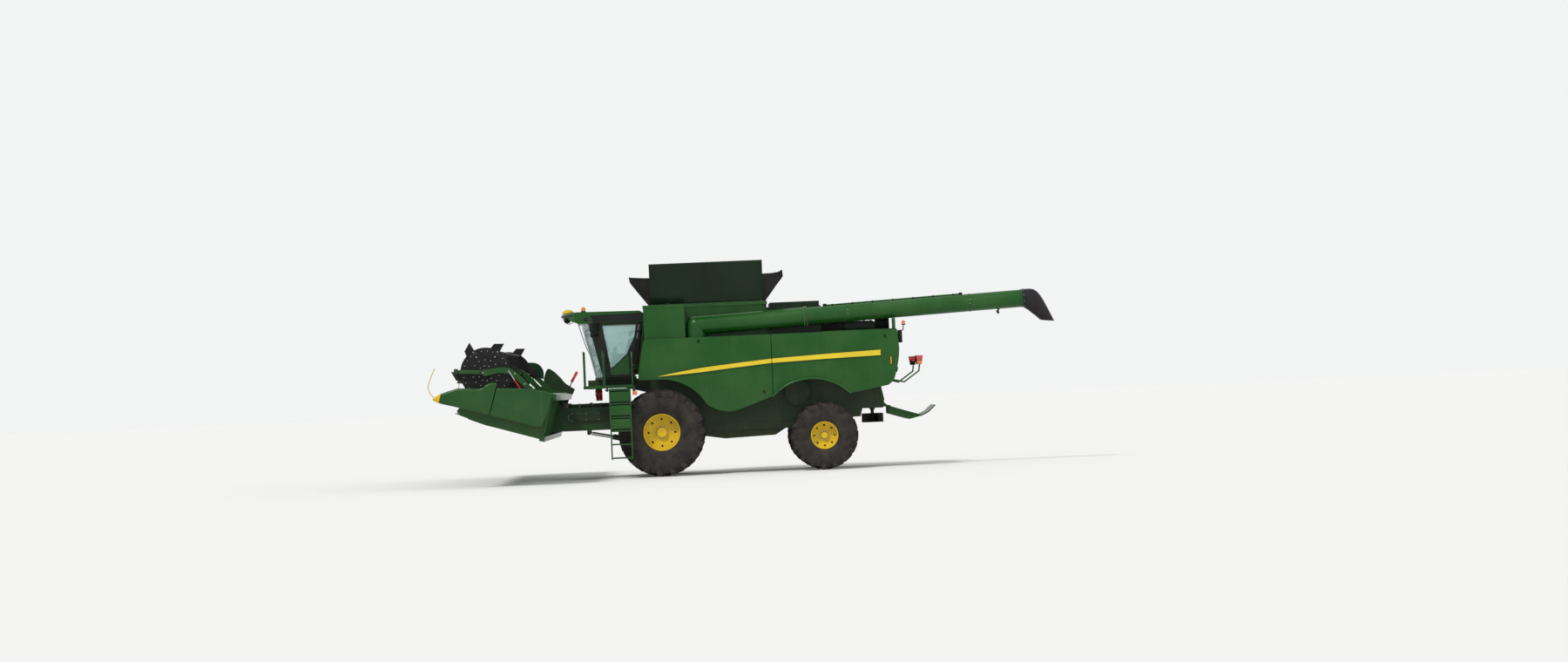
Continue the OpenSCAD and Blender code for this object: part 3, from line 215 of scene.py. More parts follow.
# %% [markdown]
# The sheet metal is sprayed deep green, with less gloss than real enamel, because the pale surroundings would
# lighten it. Up close it is a coat over slightly uneven colour, with orange peel, fine field dust that lies
# thicker near the ground and in patches, and chaff streaks that rain has drawn downwards. The same finish
# serves for the yellow, the red, the black and the darker greens.

# %% Sprayed paint
DUST, DUST_TOP = (0.30, 0.235, 0.15), 2.2


def sprayed(name, colour, dust=0.22, gloss=0.28, coat=0.14):
    f = Finish(name, Coat_Roughness=0.12, IOR=1.5, Specular_IOR_Level=0.2)
    patches = f.noise(0.9, 5.0)
    streaks = f.noise(2.2, 6.0, 0.6, f.stretched(3.0, 3.0, 0.35))
    fine = f.noise(38.0, 3.0)
    low = 1 - f.axis("Z").ramp(0.3, DUST_TOP)
    film = (patches.ramp(0.42, 0.75) * 0.30 + low * 0.28 + streaks.ramp(0.55, 0.8) * 0.25) * dust
    film = film * (fine * 0.7 + 0.55)
    tone = f.mix(patches.ramp(0.3, 0.7), shade(colour, 0.86), shade(colour, 1.12))
    f.set("Base Color", f.mix(film, tone, DUST))
    f.set("Roughness", film * 0.9 + fine * 0.06 + gloss)
    f.set("Coat Weight", (1 - film.ramp(0.0, 0.5)) * coat)
    f.bump(f.noise(260.0, 2.0) + fine * 0.5, 0.0004)
    return f.material


green_paint = sprayed("green_paint", (0.0078, 0.076, 0.0085))
header_green = sprayed("header_green", (0.0078, 0.064, 0.0090), dust=0.24)
dark_green = sprayed("dark_green_paint", (0.0045, 0.020, 0.0065), dust=0.08, gloss=0.36, coat=0.08)
frame_green = sprayed("frame_green", (0.007, 0.036, 0.010), dust=0.45, gloss=0.4, coat=0.1)
yellow_paint = sprayed("yellow_paint", (0.64, 0.44, 0.006), dust=0.12)
stripe_yellow = sprayed("stripe_yellow", (0.72, 0.54, 0.030), dust=0.06)
red_paint = sprayed("red_paint", (0.42, 0.012, 0.010), dust=0.12)
black_paint = sprayed("black_paint", (0.009, 0.009, 0.010), dust=0.10, gloss=0.42, coat=0.06)

# %% [markdown]
# Tyre rubber is nearly black, but in the field it is dulled by soil. The dust sits between the lugs and on
# the flanks, and the tips are rubbed clean. A wheel turns, so the pattern follows the distance from its own
# axle, which the Mapping centres.

# %% Rubber, plastics, steel, glass and cloth
def tyre_rubber(name, axle, radius):
    f = Finish(name, Specular_IOR_Level=0.15)
    here = f.node("ShaderNodeMapping", "Vector", Vector=f.place(), Location=tuple(-c for c in axle))
    x, z = (f.node("ShaderNodeSeparateXYZ", letter, Vector=here) for letter in "XZ")
    reach = (x * x + z * z).math("SQRT", x * x + z * z)
    ground_in = 1 - reach.ramp(radius * 0.93, radius * 0.985)
    soil = (ground_in * 0.42 + 0.07) * f.noise(5.0, 6.0, 0.62).ramp(0.30, 0.72)
    f.set("Base Color", f.mix(soil, (0.015, 0.014, 0.015), (0.085, 0.070, 0.053)))
    f.set("Roughness", soil * 0.35 + 0.62)
    rings = (reach * 190.0).sine() * (1 - reach.ramp(radius * 0.80, radius * 0.84))
    f.bump(f.noise(90.0, 4.0) * 0.6 + rings * 0.35, 0.0015)
    return f.material


def plastic(name, colour, roughness=0.55, grain=220.0, dust=0.05):
    f = Finish(name, Specular_IOR_Level=0.16)
    film = f.noise(2.5, 5.0).ramp(0.4, 0.8) * dust
    f.set("Base Color", f.mix(film, colour, DUST))
    f.set("Roughness", film * 0.5 + roughness)
    f.bump(f.noise(grain, 2.0), 0.0005)
    return f.material


def worn_steel(name, colour, rust, roughness):
    f = Finish(name)
    patches = f.noise(7.0, 6.0, 0.65).ramp(0.5, 0.75) * rust
    scratches = f.noise(30.0, 3.0, 0.6, f.stretched(0.6, 6.0, 6.0))
    f.set("Base Color", f.mix(patches, f.mix(scratches, shade(colour, 0.8), shade(colour, 1.15)), (0.16, 0.07, 0.03)))
    f.set("Roughness", patches * 0.45 + scratches * 0.15 + roughness)
    f.set("Metallic", 0.95 - patches * 0.8)
    f.bump(scratches + patches, 0.0006)
    return f.material


def clear_glass(name, colour, alpha):
    f = Finish(name, Base_Color=(*colour, 1.0), Specular_IOR_Level=0.8)
    grime = f.noise(3.0, 6.0, 0.6).ramp(0.45, 0.85)
    f.set("Alpha", grime * 0.10 + alpha)
    f.set("Roughness", grime * 0.10 + 0.03)
    return f.material


def lens(name, colour):
    f = Finish(name, Coat_Weight=0.8, Coat_Roughness=0.05, IOR=1.49)
    ribs = (f.axis("Y") * 520.0).sine() * (f.axis("Z") * 520.0).sine()
    f.set("Base Color", f.mix(ribs.ramp(-1.0, 1.0), shade(colour, 0.72), shade(colour, 1.1)))
    f.set("Roughness", ribs.ramp(-1.0, 1.0) * 0.1 + 0.12)
    f.bump(ribs, 0.0015)
    return f.material


def woven(name, colour):
    f = Finish(name, Sheen_Weight=0.25, Sheen_Roughness=0.5)
    weave = (f.axis("Y") * 1400.0).sine() * (f.axis("Z") * 1400.0 + f.axis("X") * 1400.0).sine()
    f.set("Base Color", f.mix(weave.ramp(-1.0, 1.0), shade(colour, 0.7), shade(colour, 1.3)))
    f.set("Roughness", f.noise(12.0) * 0.15 + 0.75)
    f.bump(weave, 0.0008)
    return f.material


black_plastic = plastic("black_plastic", (0.009, 0.009, 0.0105))
step_plastic = plastic("step_plastic", (0.022, 0.024, 0.025), 0.6, 90.0, 0.2)
spout_rubber = plastic("spout_rubber", (0.016, 0.013, 0.017), 0.5, 60.0, 0.05)
belt_rubber = plastic("belt_rubber", (0.018, 0.017, 0.017), 0.7, 120.0, 0.3)
# The auger's steel is dull and a little rusty, and its colour is also darkened as painted shade for the header's
# trough, where the auger lies; the knife sections share it.
auger_steel_and_shade = worn_steel("auger_steel_and_shade", (0.24, 0.24, 0.245), 0.35, 0.38)
knife_steel = worn_steel("knife_steel", (0.30, 0.30, 0.31), 0.55, 0.38)
rod_chrome = worn_steel("rod_chrome", (0.62, 0.63, 0.65), 0.03, 0.12)
mirror_silver = worn_steel("mirror_silver", (0.12, 0.125, 0.13), 0.0, 0.10)
bolt_steel = worn_steel("bolt_steel", (0.40, 0.39, 0.36), 0.15, 0.3)
cast_iron = worn_steel("cast_iron", (0.10, 0.10, 0.10), 0.35, 0.55)
cab_teal = clear_glass("cab_glass_tint", (0.38, 0.66, 0.63), 0.42)
lamp_clear = lens("lamp_clear", (0.82, 0.83, 0.80))
lamp_amber = lens("lamp_amber", (0.86, 0.22, 0.01))
lamp_red = lens("lamp_red", (0.62, 0.02, 0.015))
seat_cloth = woven("seat_cloth", (0.035, 0.036, 0.04))

# %% [markdown]
# Every CAD node keeps its shape where that is right, and takes its finish from this table. Only the tyres are
# not in it, because a piece with its own rubber stands for each of them.

# %% Finishes of the CAD nodes
NODE_FINISHES = (
    (frame_green, "chassis_frame rear_axle threshing_body lift_barrels straw_chopper knuckle_left knuckle_right"),
    (green_paint, "rear_hood grain_tank cab_roof cab_door platform ladder unloader_tube tailboard"),
    (green_paint, "shield_front_left shield_rear_left shield_front_right shield_rear_right"),
    (header_green, "feeder_house header_frame header_dividers reel_arms"),
    (dark_green, "engine_hood tank_cover_left tank_cover_right"),
    (yellow_paint, "rim_front_left rim_front_right rim_rear_left rim_rear_right"),
    (black_plastic, "tank_wings cab_interior mirrors reel"), (black_paint, "cab_frame spreader_left spreader_right"),
    (cab_teal, "cab_glass cab_door_glass"), (rod_chrome, "lift_rods reel_rods"), (red_paint, "reel_barrels"),
    (auger_steel_and_shade, "header_auger"), (knife_steel, "cutterbar"), (cast_iron, "engine_block"), (bolt_steel, "tie_rod"),
    (spout_rubber, "unloader_spout"), (lamp_clear, "lamps"),
)

for finish, names in NODE_FINISHES:
    for name in names.split():
        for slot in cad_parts[name].material_slots:
            slot.material = finish
print("nodes with a finish:", sum(len(names.split()) for _, names in NODE_FINISHES), "of", len(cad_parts))

# %% [markdown]
# The floor is pale and plain. The sky is bright to the camera and in reflections, and dimmer as a light.

# %% Floor and sky
FLOOR, REACH = (0.80, 0.80, 0.79), 420.0
floor_finish = Finish("plain_floor", Roughness=0.95)
floor_tone = floor_finish.noise(0.15, 3.0)
floor_finish.set("Base Color", floor_finish.mix(floor_tone, shade(FLOOR, 0.985), FLOOR))
floor_mesh = bpy.data.meshes.new("floor")
corners = [(x * REACH, y * REACH, 0) for x, y in ((-1, -1), (1, -1), (1, 1), (-1, 1))]
floor_mesh.from_pydata(corners, [], [(0, 1, 2, 3)])
floor_mesh.materials.append(floor_finish.material)
floor = added("floor", floor_mesh)

sky = world.node_tree
background = sky.nodes["Background"]
path = sky.nodes.new("ShaderNodeLightPath")
seen = Wire(sky, path.outputs["Is Camera Ray"]).most(Wire(sky, path.outputs["Is Glossy Ray"]) * 0.75)
seen = seen.most(Wire(sky, path.outputs["Is Transmission Ray"]))
background.inputs["Color"].default_value = (0.943, 0.948, 0.953, 1.0)
plug(sky, background.inputs["Strength"], seen * 0.33 + 0.62)

# %% [markdown]
# A piece is built from plain lists of points and faces, its place is baked into its mesh, and it is told
# which body it rides on and which solids it stands for. A slot may be given or is looked up from the
# finish, but it is not kept; what rides on the header is drawn level and lifted with it.

# %% Making a piece
SLOTS = {
    "green_paint": (green_paint, header_green, frame_green), "dark_paint": (dark_green,), "red_paint": (red_paint,),
    "yellow_paint": (yellow_paint, stripe_yellow), "spout_rubber": (spout_rubber,), "cast": (cast_iron,),
    "black_plastic": (black_plastic, black_paint, step_plastic, belt_rubber), "seat_cloth": (seat_cloth,),
    "bright_steel": (auger_steel_and_shade, mirror_silver, bolt_steel), "lamp_lens": (lamp_clear, lamp_amber, lamp_red),
}
SLOT_OF = {finish: slot for slot, finishes in SLOTS.items() for finish in finishes}
LIFTED = "header reel_carrier pickup_reel".split()


def piece(name, mesh, finish=None, body="chassis", replaces=(), slot=None, sharp=38, bevel=0.0, place=None):
    """One named piece; a mesh that a tree has made brings its own finish."""
    if place is None:
        place = to_header if body in LIFTED else to_frame
    mesh.transform(place)
    if finish is not None:
        mesh.materials.clear()
        mesh.materials.append(finish)
    mesh.polygons.foreach_set("use_smooth", [True] * len(mesh.polygons))
    mesh.set_sharp_from_angle(angle=math.radians(sharp))
    mesh.update()
    made = added(name, mesh)
    if bevel:
        edge = made.modifiers.new("soft_edges", "BEVEL")
        edge.width, edge.segments, edge.limit_method, edge.angle_limit = bevel, 2, "ANGLE", math.radians(40)
    slot = slot or SLOT_OF[mesh.materials[-1]]
    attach(made, body)
    if replaces:
        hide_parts(*replaces)
    return made


# %% [markdown]
# These few functions make nearly every shape: a box, a turned outline, a skin through rings, a bar along a
# path and a flat plate.

# %% Shapes
def as_mesh(bm):
    mesh = bpy.data.meshes.new("made")
    bm.to_mesh(mesh)
    bm.free()
    return mesh


def finished(bm):
    bmesh.ops.remove_doubles(bm, verts=bm.verts, dist=1e-5)
    bmesh.ops.recalc_face_normals(bm, faces=bm.faces)
    return as_mesh(bm)


def joined(meshes):
    bm = bmesh.new()
    for mesh in meshes:
        bm.from_mesh(mesh)
    return as_mesh(bm)


def moved(mesh, *matrices):
    for matrix in matrices:
        mesh.transform(matrix)
    return mesh


def mirrored(mesh):
    bm = bmesh.new()
    bm.from_mesh(moved(mesh.copy(), Matrix.Scale(-1, 4, (0, 1, 0))))
    bmesh.ops.reverse_faces(bm, faces=bm.faces)
    return as_mesh(bm)


def both_sides(mesh):
    return joined([mesh, mirrored(mesh)])


def box_mesh(low, high, bevel=0.0):
    bm = bmesh.new()
    bmesh.ops.create_cube(bm, size=1.0)
    low, high = Vector(low), Vector(high)
    for v in bm.verts:
        v.co = Vector((low[k] + (v.co[k] + 0.5) * (high[k] - low[k]) for k in range(3)))
    if bevel:
        bmesh.ops.bevel(bm, geom=bm.edges[:], offset=bevel, segments=2, affect="EDGES", profile=0.5)
    return finished(bm)


ON_AXIS = 1e-6
TURNED = {
    "X": lambda r, t, c, s: (t, r * c, r * s),
    "Y": lambda r, t, c, s: (r * s, t, r * c),
    "Z": lambda r, t, c, s: (r * c, r * s, t),
}


def spun(profile, steps, axis="Y", at=(0, 0, 0)):
    """A closed outline of (radius, along) turned about an axis through a point."""
    bm = bmesh.new()
    rings = []
    for a in around(steps):
        c, s = math.cos(a), math.sin(a)
        rings.append([bm.verts.new(Vector(TURNED[axis](r, t, c, s)) + Vector(at)) for r, t in profile])
    for a, b in zip(rings, rings[1:] + rings[:1]):
        for k in range(len(profile)):
            j = (k + 1) % len(profile)
            corners = [b[i] for i in (j, k) if profile[i][0] >= ON_AXIS]
            if corners:
                bm.faces.new((a[k], a[j], *corners))
    return finished(bm)


def collar(inner, outer, low, high, steps, axis, at=(0, 0, 0)):
    """A plain ring about an axis; with no inner radius it is a disc or a pin."""
    return spun([(inner, low), (outer, low), (outer, high), (inner, high)], steps, axis, at)


def smooth_path(points, steps):
    """Catmull-Rom points through a short list."""
    p = [Vector(q) for q in points]
    p = [p[0] * 2 - p[1], *p, p[-1] * 2 - p[-2]]
    out = []
    for i in range(1, len(p) - 2):
        a, b, c, d = p[i - 1 : i + 3]
        bend, swing = 2 * a - 5 * b + 4 * c - d, 3 * b - a - 3 * c + d
        out += [0.5 * (2 * b + (c - a) * t + bend * t**2 + swing * t**3) for t in (k / steps for k in range(steps))]
    return [*out, p[-2]]


def flat_smooth(points, steps):
    return [(p.x, p.z) for p in smooth_path([(x, 0, z) for x, z in points], steps)]


def bridge(bm, a, b):
    """Faces between two rings of vertices."""
    n = len(a)
    for k in range(n):
        bm.faces.new((a[k], a[(k + 1) % n], b[(k + 1) % n], b[k]))


def loft(sections):
    """A closed skin through rings of points that all have the same count."""
    bm = bmesh.new()
    rings = [[bm.verts.new(p) for p in ring] for ring in sections]
    for a, b in zip(rings, rings[1:]):
        bridge(bm, a, b)
    bm.faces.new(rings[0])
    bm.faces.new(rings[-1])
    return finished(bm)


def tube(points, radius, sides, steps=6):
    """A round bar, hose or rail along a smooth path, closed at both ends."""
    spine = smooth_path(points, steps) if steps > 1 else [Vector(q) for q in points]
    side = (spine[1] - spine[0]).normalized().orthogonal().normalized()
    rings = []
    for i, spot in enumerate(spine):
        run = (spine[min(i + 1, len(spine) - 1)] - spine[max(i - 1, 0)]).normalized()
        side = (side - run * side.dot(run)).normalized()
        other = run.cross(side)
        rings.append([spot + (side * math.cos(a) + other * math.sin(a)) * radius for a in around(sides)])
    return loft(rings)


def plate(outline, y0, y1):
    """A flat plate with an outline in x and z, from y0 to y1."""
    return loft([[(x, y, z) for x, z in outline] for y in (y0, y1)])


# %% [markdown]
# Repeated fasteners are made by Geometry Nodes. The tree takes a mesh of loose points, one for each bolt
# and with its axis in the attribute bolt_axis, puts one bolt head on each, and realizes them. The result is
# turned into a plain mesh, so that nothing is left for the export to drop.

# %% Bolts on points
def copies_tree(name, *inputs):
    """A tree with named inputs that sets copies on points; its caller links the points and the shape."""
    tree = bpy.data.node_groups.new(name, "GeometryNodeTree")
    for label, kind in (("Geometry", "Geometry"), *inputs, ("Finish", "Material")):
        tree.interface.new_socket(label, in_out="INPUT", socket_type=f"NodeSocket{kind}")
    tree.interface.new_socket("Geometry", in_out="OUTPUT", socket_type="NodeSocketGeometry")
    new, link = tree.nodes.new, tree.links.new
    given, put, real = new("NodeGroupInput"), new("GeometryNodeInstanceOnPoints"), new("GeometryNodeRealizeInstances")
    paint, out = new("GeometryNodeSetMaterial"), new("NodeGroupOutput")
    link(put.outputs["Instances"], real.inputs["Geometry"])
    link(real.outputs["Geometry"], paint.inputs["Geometry"])
    link(given.outputs["Finish"], paint.inputs["Material"])
    link(paint.outputs["Geometry"], out.inputs["Geometry"])
    return tree, given.outputs, put.inputs


def grown(mesh, tree, values):
    """The plain mesh that a tree makes from one mesh and its named values."""
    carrier = added("carrier", mesh)
    step = carrier.modifiers.new("tree", "NODES")
    step.node_group = tree
    for item in tree.interface.items_tree:
        if item.in_out == "INPUT" and item.name in values:
            step[item.identifier] = values[item.name]
    carrier.update_tag()
    made = bpy.data.meshes.new_from_object(carrier.evaluated_get(bpy.context.evaluated_depsgraph_get()))
    bpy.data.objects.remove(carrier)
    return made


BOLTS, given, put = copies_tree("bolts_on_points", ("Radius", "Float"), ("Height", "Float"))
head = BOLTS.nodes.new("GeometryNodeMeshCylinder")
head.inputs["Vertices"].default_value = 6
axis = BOLTS.nodes.new("GeometryNodeInputNamedAttribute")
axis.data_type = "FLOAT_VECTOR"
axis.inputs["Name"].default_value = "bolt_axis"
aim = BOLTS.nodes.new("FunctionNodeAlignRotationToVector")
aim.axis = "Z"
for start, end in (
    (given["Radius"], head.inputs["Radius"]), (given["Height"], head.inputs["Depth"]),
    (axis.outputs["Attribute"], aim.inputs["Vector"]), (aim.outputs["Rotation"], put["Rotation"]),
    (given["Geometry"], put["Points"]), (head.outputs["Mesh"], put["Instance"]),
):
    BOLTS.links.new(start, end)


def bolts(spots, radius, height):
    """One plain mesh of bolt heads; a spot is a point and an axis."""
    points = bpy.data.meshes.new("bolt_points")
    points.from_pydata([p for p, _ in spots], [], [])
    axes = points.attributes.new("bolt_axis", "FLOAT_VECTOR", "POINT")
    axes.data.foreach_set("vector", [c for _, a in spots for c in a])
    return grown(points, BOLTS, {"Radius": radius, "Height": height, "Finish": bolt_steel})


def circle(centre, radius, count, start=0.0):
    """Points on a circle about an axis along y."""
    x, y, z = centre
    return [(x + radius * math.sin(a), y, z + radius * math.cos(a)) for a in around(count, start)]


def ring_of_bolts(centre, radius, count, sign, start=0.0):
    return [(p, (0, sign, 0)) for p in circle(centre, radius, count, start)]


# %% [markdown]
# The drive tyres have deep lugs in two staggered rows, each bar swept back from the middle to the shoulder
# and standing on a rounded foot. The carcass is one turned outline with bulging flanks. The lug is modelled
# once as a tapered, curved bar and repeated about the axle.

# %% Tyres
LUG_SWEEP, LUG_THICK, LUG_HEIGHT = 0.19, 0.045, 0.055
WHEELS = (  # place, x, y, radius, width, rim, lugs, circle of the nuts
    ("front", 0.0, 1.485, 1.04, 0.78, 0.435, 19, 0.148),
    ("rear", WHEELBASE, 1.48, 0.81, 0.60, 0.325, 17, 0.108),
)


def lug_bar(radius, carcass, width, side):
    """One lug of a row: its foot is wider than its tip, and it bends back towards the shoulder."""
    sweep, thick = width * LUG_SWEEP, width * LUG_THICK
    rows = []
    for i in range(7):
        t = i / 6
        y = side * width * (0.03 + 0.475 * t)
        x = -sweep + sweep * (1.25 * t + 0.35 * t * t)
        drop = 0.14 * (radius - carcass) * max(0.0, t - 0.55) / 0.45
        top = math.sqrt(radius**2 - (sweep + thick) ** 2) - drop
        half = thick * (1.0 + 0.25 * t)
        foot = carcass - 0.16 * (carcass - radius * 0.42) - 0.05 * t
        flank = [(1.3, foot), (1.15, carcass), (1.0, top - 0.006), (0.8, top)]
        rows.append([(x - half * o, y, z) for o, z in flank] + [(x + half * o, y, z) for o, z in flank[::-1]])
    return loft(rows)


def tyre_mesh(radius, width, rim, lugs):
    carcass = radius - LUG_HEIGHT
    wall = carcass - rim
    flank = ((0.12, 0.43), (0.25, 0.472), (0.42, 0.495), (0.60, 0.498), (0.76, 0.488))
    half = [(rim + 0.004, 0.385), (rim + 0.025, 0.405), *[(rim + t * wall, s) for t, s in flank]]
    half += [(carcass - 0.10 * wall, 0.462), (carcass - 0.03 * wall, 0.42), (carcass, 0.36)]
    half += [(carcass + 0.004, 0.18), (carcass + 0.005, 0.0)]
    outline = [(r, s * width) for r, s in half] + [(r, -s * width) for r, s in half[-2::-1]]
    outline += [(rim + 0.002, -0.30 * width), (rim + 0.002, 0.30 * width)]
    parts = [spun(outline, 96)]
    back = (LUG_SWEEP + LUG_THICK) * width
    start = math.pi + math.atan2(back, math.sqrt(radius**2 - back**2)) + math.radians(90 / lugs)
    for side in (-1, 1):
        bar = lug_bar(radius, carcass, width, side)
        for a in around(lugs, side / 4):
            parts.append(moved(bar.copy(), Matrix.Rotation(start + a, 4, "Y")))
    return joined(parts)


for place, x, y, radius, width, rim, lugs, _ in WHEELS:
    for side, sign in SIDES:
        mesh = tyre_mesh(radius, width, rim, lugs)
        if sign < 0:
            mesh = mirrored(mesh)
        rubber = tyre_rubber(f"tyre_rubber_{place}_{side}", (x - MIDDLE, sign * y, radius), radius)
        piece(f"tread_tyre_{place}_{side}", moved(mesh, shift(x, sign * y, radius)), rubber, f"wheel_{place}_{side}",
              (f"tyre_{place}_{side}",), "tyre", sharp=32)
        print(place, side, "tyre faces:", len(mesh.polygons))


# %% [markdown]
# The side shields are large moulded panels. Seen from behind they lean in at the top and under the lower
# crease, and the creases climb to the rear. The panel is drawn flat as one outline, cut into small cells,
# and each point is then pushed out to the section's distance, so that the crease follows its slope. A stripe
# made the same way follows the panel without a gap.

# %% Skins that follow the side section
CREASE_SLOPE, CREASE_X, CREASE_Z = math.radians(2.6), 1.0, 2.615
SECTION = [
    (1.20, 1.528), (1.98, 1.613), (2.03, 1.6175), (2.10, 1.6195), (2.32, 1.6195),
    (2.59, 1.6150), (2.63, 1.6115), (2.72, 1.6025), (3.00, 1.5785), (3.45, 1.5400)
]


def shield_out(x, z):
    level = CREASE_Z + (z - CREASE_Z) * math.cos(CREASE_SLOPE) - (x - CREASE_X) * math.sin(CREASE_SLOPE)
    return float(np.interp(level, *zip(*SECTION)))


def skin(outline, proud, thick, sign, step=0.09):
    """A panel of one outline in x and z that stands proud of the section and has a thickness."""
    bm = bmesh.new()
    bm.faces.new([bm.verts.new((x, 0, z)) for x, z in outline])
    for k, normal in ((0, (1, 0, 0)), (1, (0, 0, 1))):
        low, high = min(p[k] for p in outline), max(p[k] for p in outline)
        cuts = [*np.arange(low + step, high, step)]
        if k:
            cuts = sorted([*cuts, *np.arange(low + step / 2, high, step)])
        for c in cuts:
            whole = bm.verts[:] + bm.edges[:] + bm.faces[:]
            spot = (0, 0, c) if k else (c, 0, 0)
            bmesh.ops.bisect_plane(bm, geom=whole, dist=1e-6, plane_co=spot, plane_no=normal)
    bmesh.ops.triangulate(bm, faces=[f for f in bm.faces if len(f.verts) > 4])
    rim = [v for v in bm.verts if v.is_boundary]
    back = bmesh.ops.duplicate(bm, geom=bm.faces[:])
    twins = {a: b for a, b in back["vert_map"].items() if isinstance(a, bmesh.types.BMVert)}
    inner = set(twins.values())
    front = [v for v in bm.verts if v not in inner]
    bmesh.ops.reverse_faces(bm, faces=[g for g in back["geom"] if isinstance(g, bmesh.types.BMFace)])
    edges = dict.fromkeys(e for v in rim for e in v.link_edges if e.is_boundary)
    for a, b in [e.verts for e in edges if all(v in twins and v not in inner for v in e.verts)]:
        bm.faces.new((a, b, twins[b], twins[a]))
    for verts, depth in ((front, 0.0), (inner, thick)):
        for v in verts:
            v.co.y = sign * (shield_out(v.co.x, v.co.z) + proud - depth)
    return finished(bm)


def arc(centre, radius, x0, x1, steps):
    """The upper part of a circle in x and z."""
    return [
        (x, centre[1] + math.sqrt(max(0.0, radius**2 - (x - centre[0]) ** 2))) for x in np.linspace(x0, x1, steps)
    ]


SHIELD_TOP = 3.25
ARCH_X, ARCH_Z, ARCH_RADIUS = 3.57, 0.88, 1.27
front_outline = [
    (-0.33, SHIELD_TOP),
    *flat_smooth([(-0.342, 3.20), (-0.375, 3.10), (-0.48, 2.57), (-0.508, 2.34)], 3), (-0.508, 2.292)
]
front_outline += arc((0, 1.04), 1.25, 0.0, 1.075, 22)
front_outline += flat_smooth([
    (1.10, 1.643), (1.18, 1.597), (1.37, 1.51), (1.58, 1.467), (1.78, 1.487), (2.0, 1.558)
], 4)
front_outline += [(2.652, 1.787), (2.652, SHIELD_TOP)]
rear_outline = [(2.668, SHIELD_TOP), (2.668, 1.787), *arc((ARCH_X, ARCH_Z), ARCH_RADIUS, 2.69, 4.46, 30)]
rear_outline += flat_smooth([
    (4.49, 1.782), (5.30, 1.918), (5.42, 1.955), (5.53, 2.06), (5.60, 2.28),
    (5.655, 2.52), (5.682, 2.79), (5.665, 3.05), (5.652, 3.20)
], 3)
rear_outline += [(5.65, SHIELD_TOP)]
stripe_front = [(-0.05, 2.360), *flat_smooth([(0.45, 2.446), (1.03, 2.525), (1.85, 2.602), (2.652, 2.669)], 5)]
stripe_front += flat_smooth([(2.652, 2.568), (1.85, 2.502), (1.03, 2.426), (0.45, 2.385)], 5)
stripe_rear = [(2.668, 2.670), (3.9, 2.727), (5.235, 2.773), (5.235, 2.645), (3.9, 2.612), (2.668, 2.569)]

SHIELDS = (
    ("front", front_outline, stripe_front, (0.2, 2.3), ((0.95, 3.16), (2.45, 1.90))),
    ("rear", rear_outline, stripe_rear, (3.0, 5.3), ((2.95, 1.97), (5.35, 3.10))),
)
HINGE_Y, HINGE_Z, HINGE_HALF = 1.475, 3.20, 0.055
ARCH_LIP = [(-0.004, -0.030), (-0.004, 0.026), (0.006, 0.034), (0.030, 0.030), (0.048, 0.004), (0.048, -0.030)]
LATCH = [(0.0, -0.006), (0.030, -0.006), (0.030, 0.004), (0.024, 0.009), (0.008, 0.009), (0.006, 0.005), (0.0, 0.005)]
for side, sign in SIDES:
    for place, outline, stripe, hinges, _ in SHIELDS:
        body = f"side_{place}_{side}"
        parts = [skin(outline, 0.0, 0.030, sign)]
        y0, y1 = sorted((sign * HINGE_Y, sign * 1.545))
        for x in hinges:
            parts.append(collar(0.0, 0.0102, x - HINGE_HALF, x + HINGE_HALF, 16, "X", (0, sign * HINGE_Y, HINGE_Z)))
            for e in (-HINGE_HALF, HINGE_HALF - 0.010):
                parts.append(box_mesh((x + e, y0, HINGE_Z - 0.01), (x + e + 0.010, y1, HINGE_Z + 0.01)))
        piece(f"side_panel_{place}_{side}", joined(parts), green_paint, body, (f"shield_{place}_{side}",),
              sharp=20, bevel=0.006)
        piece(f"side_stripe_{place}_{side}", skin(stripe, 0.0022, 0.0020, sign, 0.12), stripe_yellow, body, sharp=20)
    lip = []
    for i in range(33):
        a = math.radians(136 - 92 * i / 32)
        x, z = ARCH_X + ARCH_RADIUS * math.cos(a), ARCH_Z + ARCH_RADIUS * math.sin(a)
        y = shield_out(x, z)
        lip.append([(x + math.cos(a) * r, sign * (y + o), z + math.sin(a) * r) for r, o in ARCH_LIP])
    piece(f"arch_lip_{side}", loft(lip), green_paint, f"side_rear_{side}", sharp=50)
    for place, _, _, _, spots in SHIELDS:
        latch = [(r, sign * t) for r, t in LATCH]
        knobs = [spun(latch, 24, "Y", (x, sign * shield_out(x, z), z)) for x, z in spots]
        piece(f"latches_{place}_{side}", joined(knobs), black_plastic, f"side_{place}_{side}")


# %% [markdown]
# The header ends in a divider on each side: a long moulded hood behind and a nose that tapers to a yellow
# tip with a sprung guide rod. The nose is lofted through rounded sections whose height and width come from
# the side and the top outline. The rear hood is a thick plate with large soft edges.

# %% Header dividers
DIVIDER_IN, DIVIDER_OUT = 5.370, 5.570
nose_top = [
    (-4.98, 0.705), (-4.92, 0.765), (-4.85, 0.845), (-4.70, 0.945), (-4.50, 1.065), (-4.25, 1.128),
    (-4.02, 1.178), (-3.95, 1.225), (-3.90, 1.295), (-3.82, 1.358), (-3.74, 1.392), (-3.665, 1.398)
]
nose_low = [(-4.98, 0.675), (-4.80, 0.632), (-4.36, 0.647), (-3.665, 0.645)]


def rounded_ring(x, y0, y1, z0, z1, soft, steps=4):
    soft = min(soft, (y1 - y0) * 0.49, (z1 - z0) * 0.49)
    corners = ((y1 - soft, z1 - soft), (y0 + soft, z1 - soft), (y0 + soft, z0 + soft), (y1 - soft, z0 + soft))
    ring = []
    for quarter, (y, z) in enumerate(corners):
        for k in range(steps + 1):
            a = math.radians(90 * quarter + 90 * k / steps)
            ring.append((x, y + soft * math.cos(a), z + soft * math.sin(a)))
    return ring


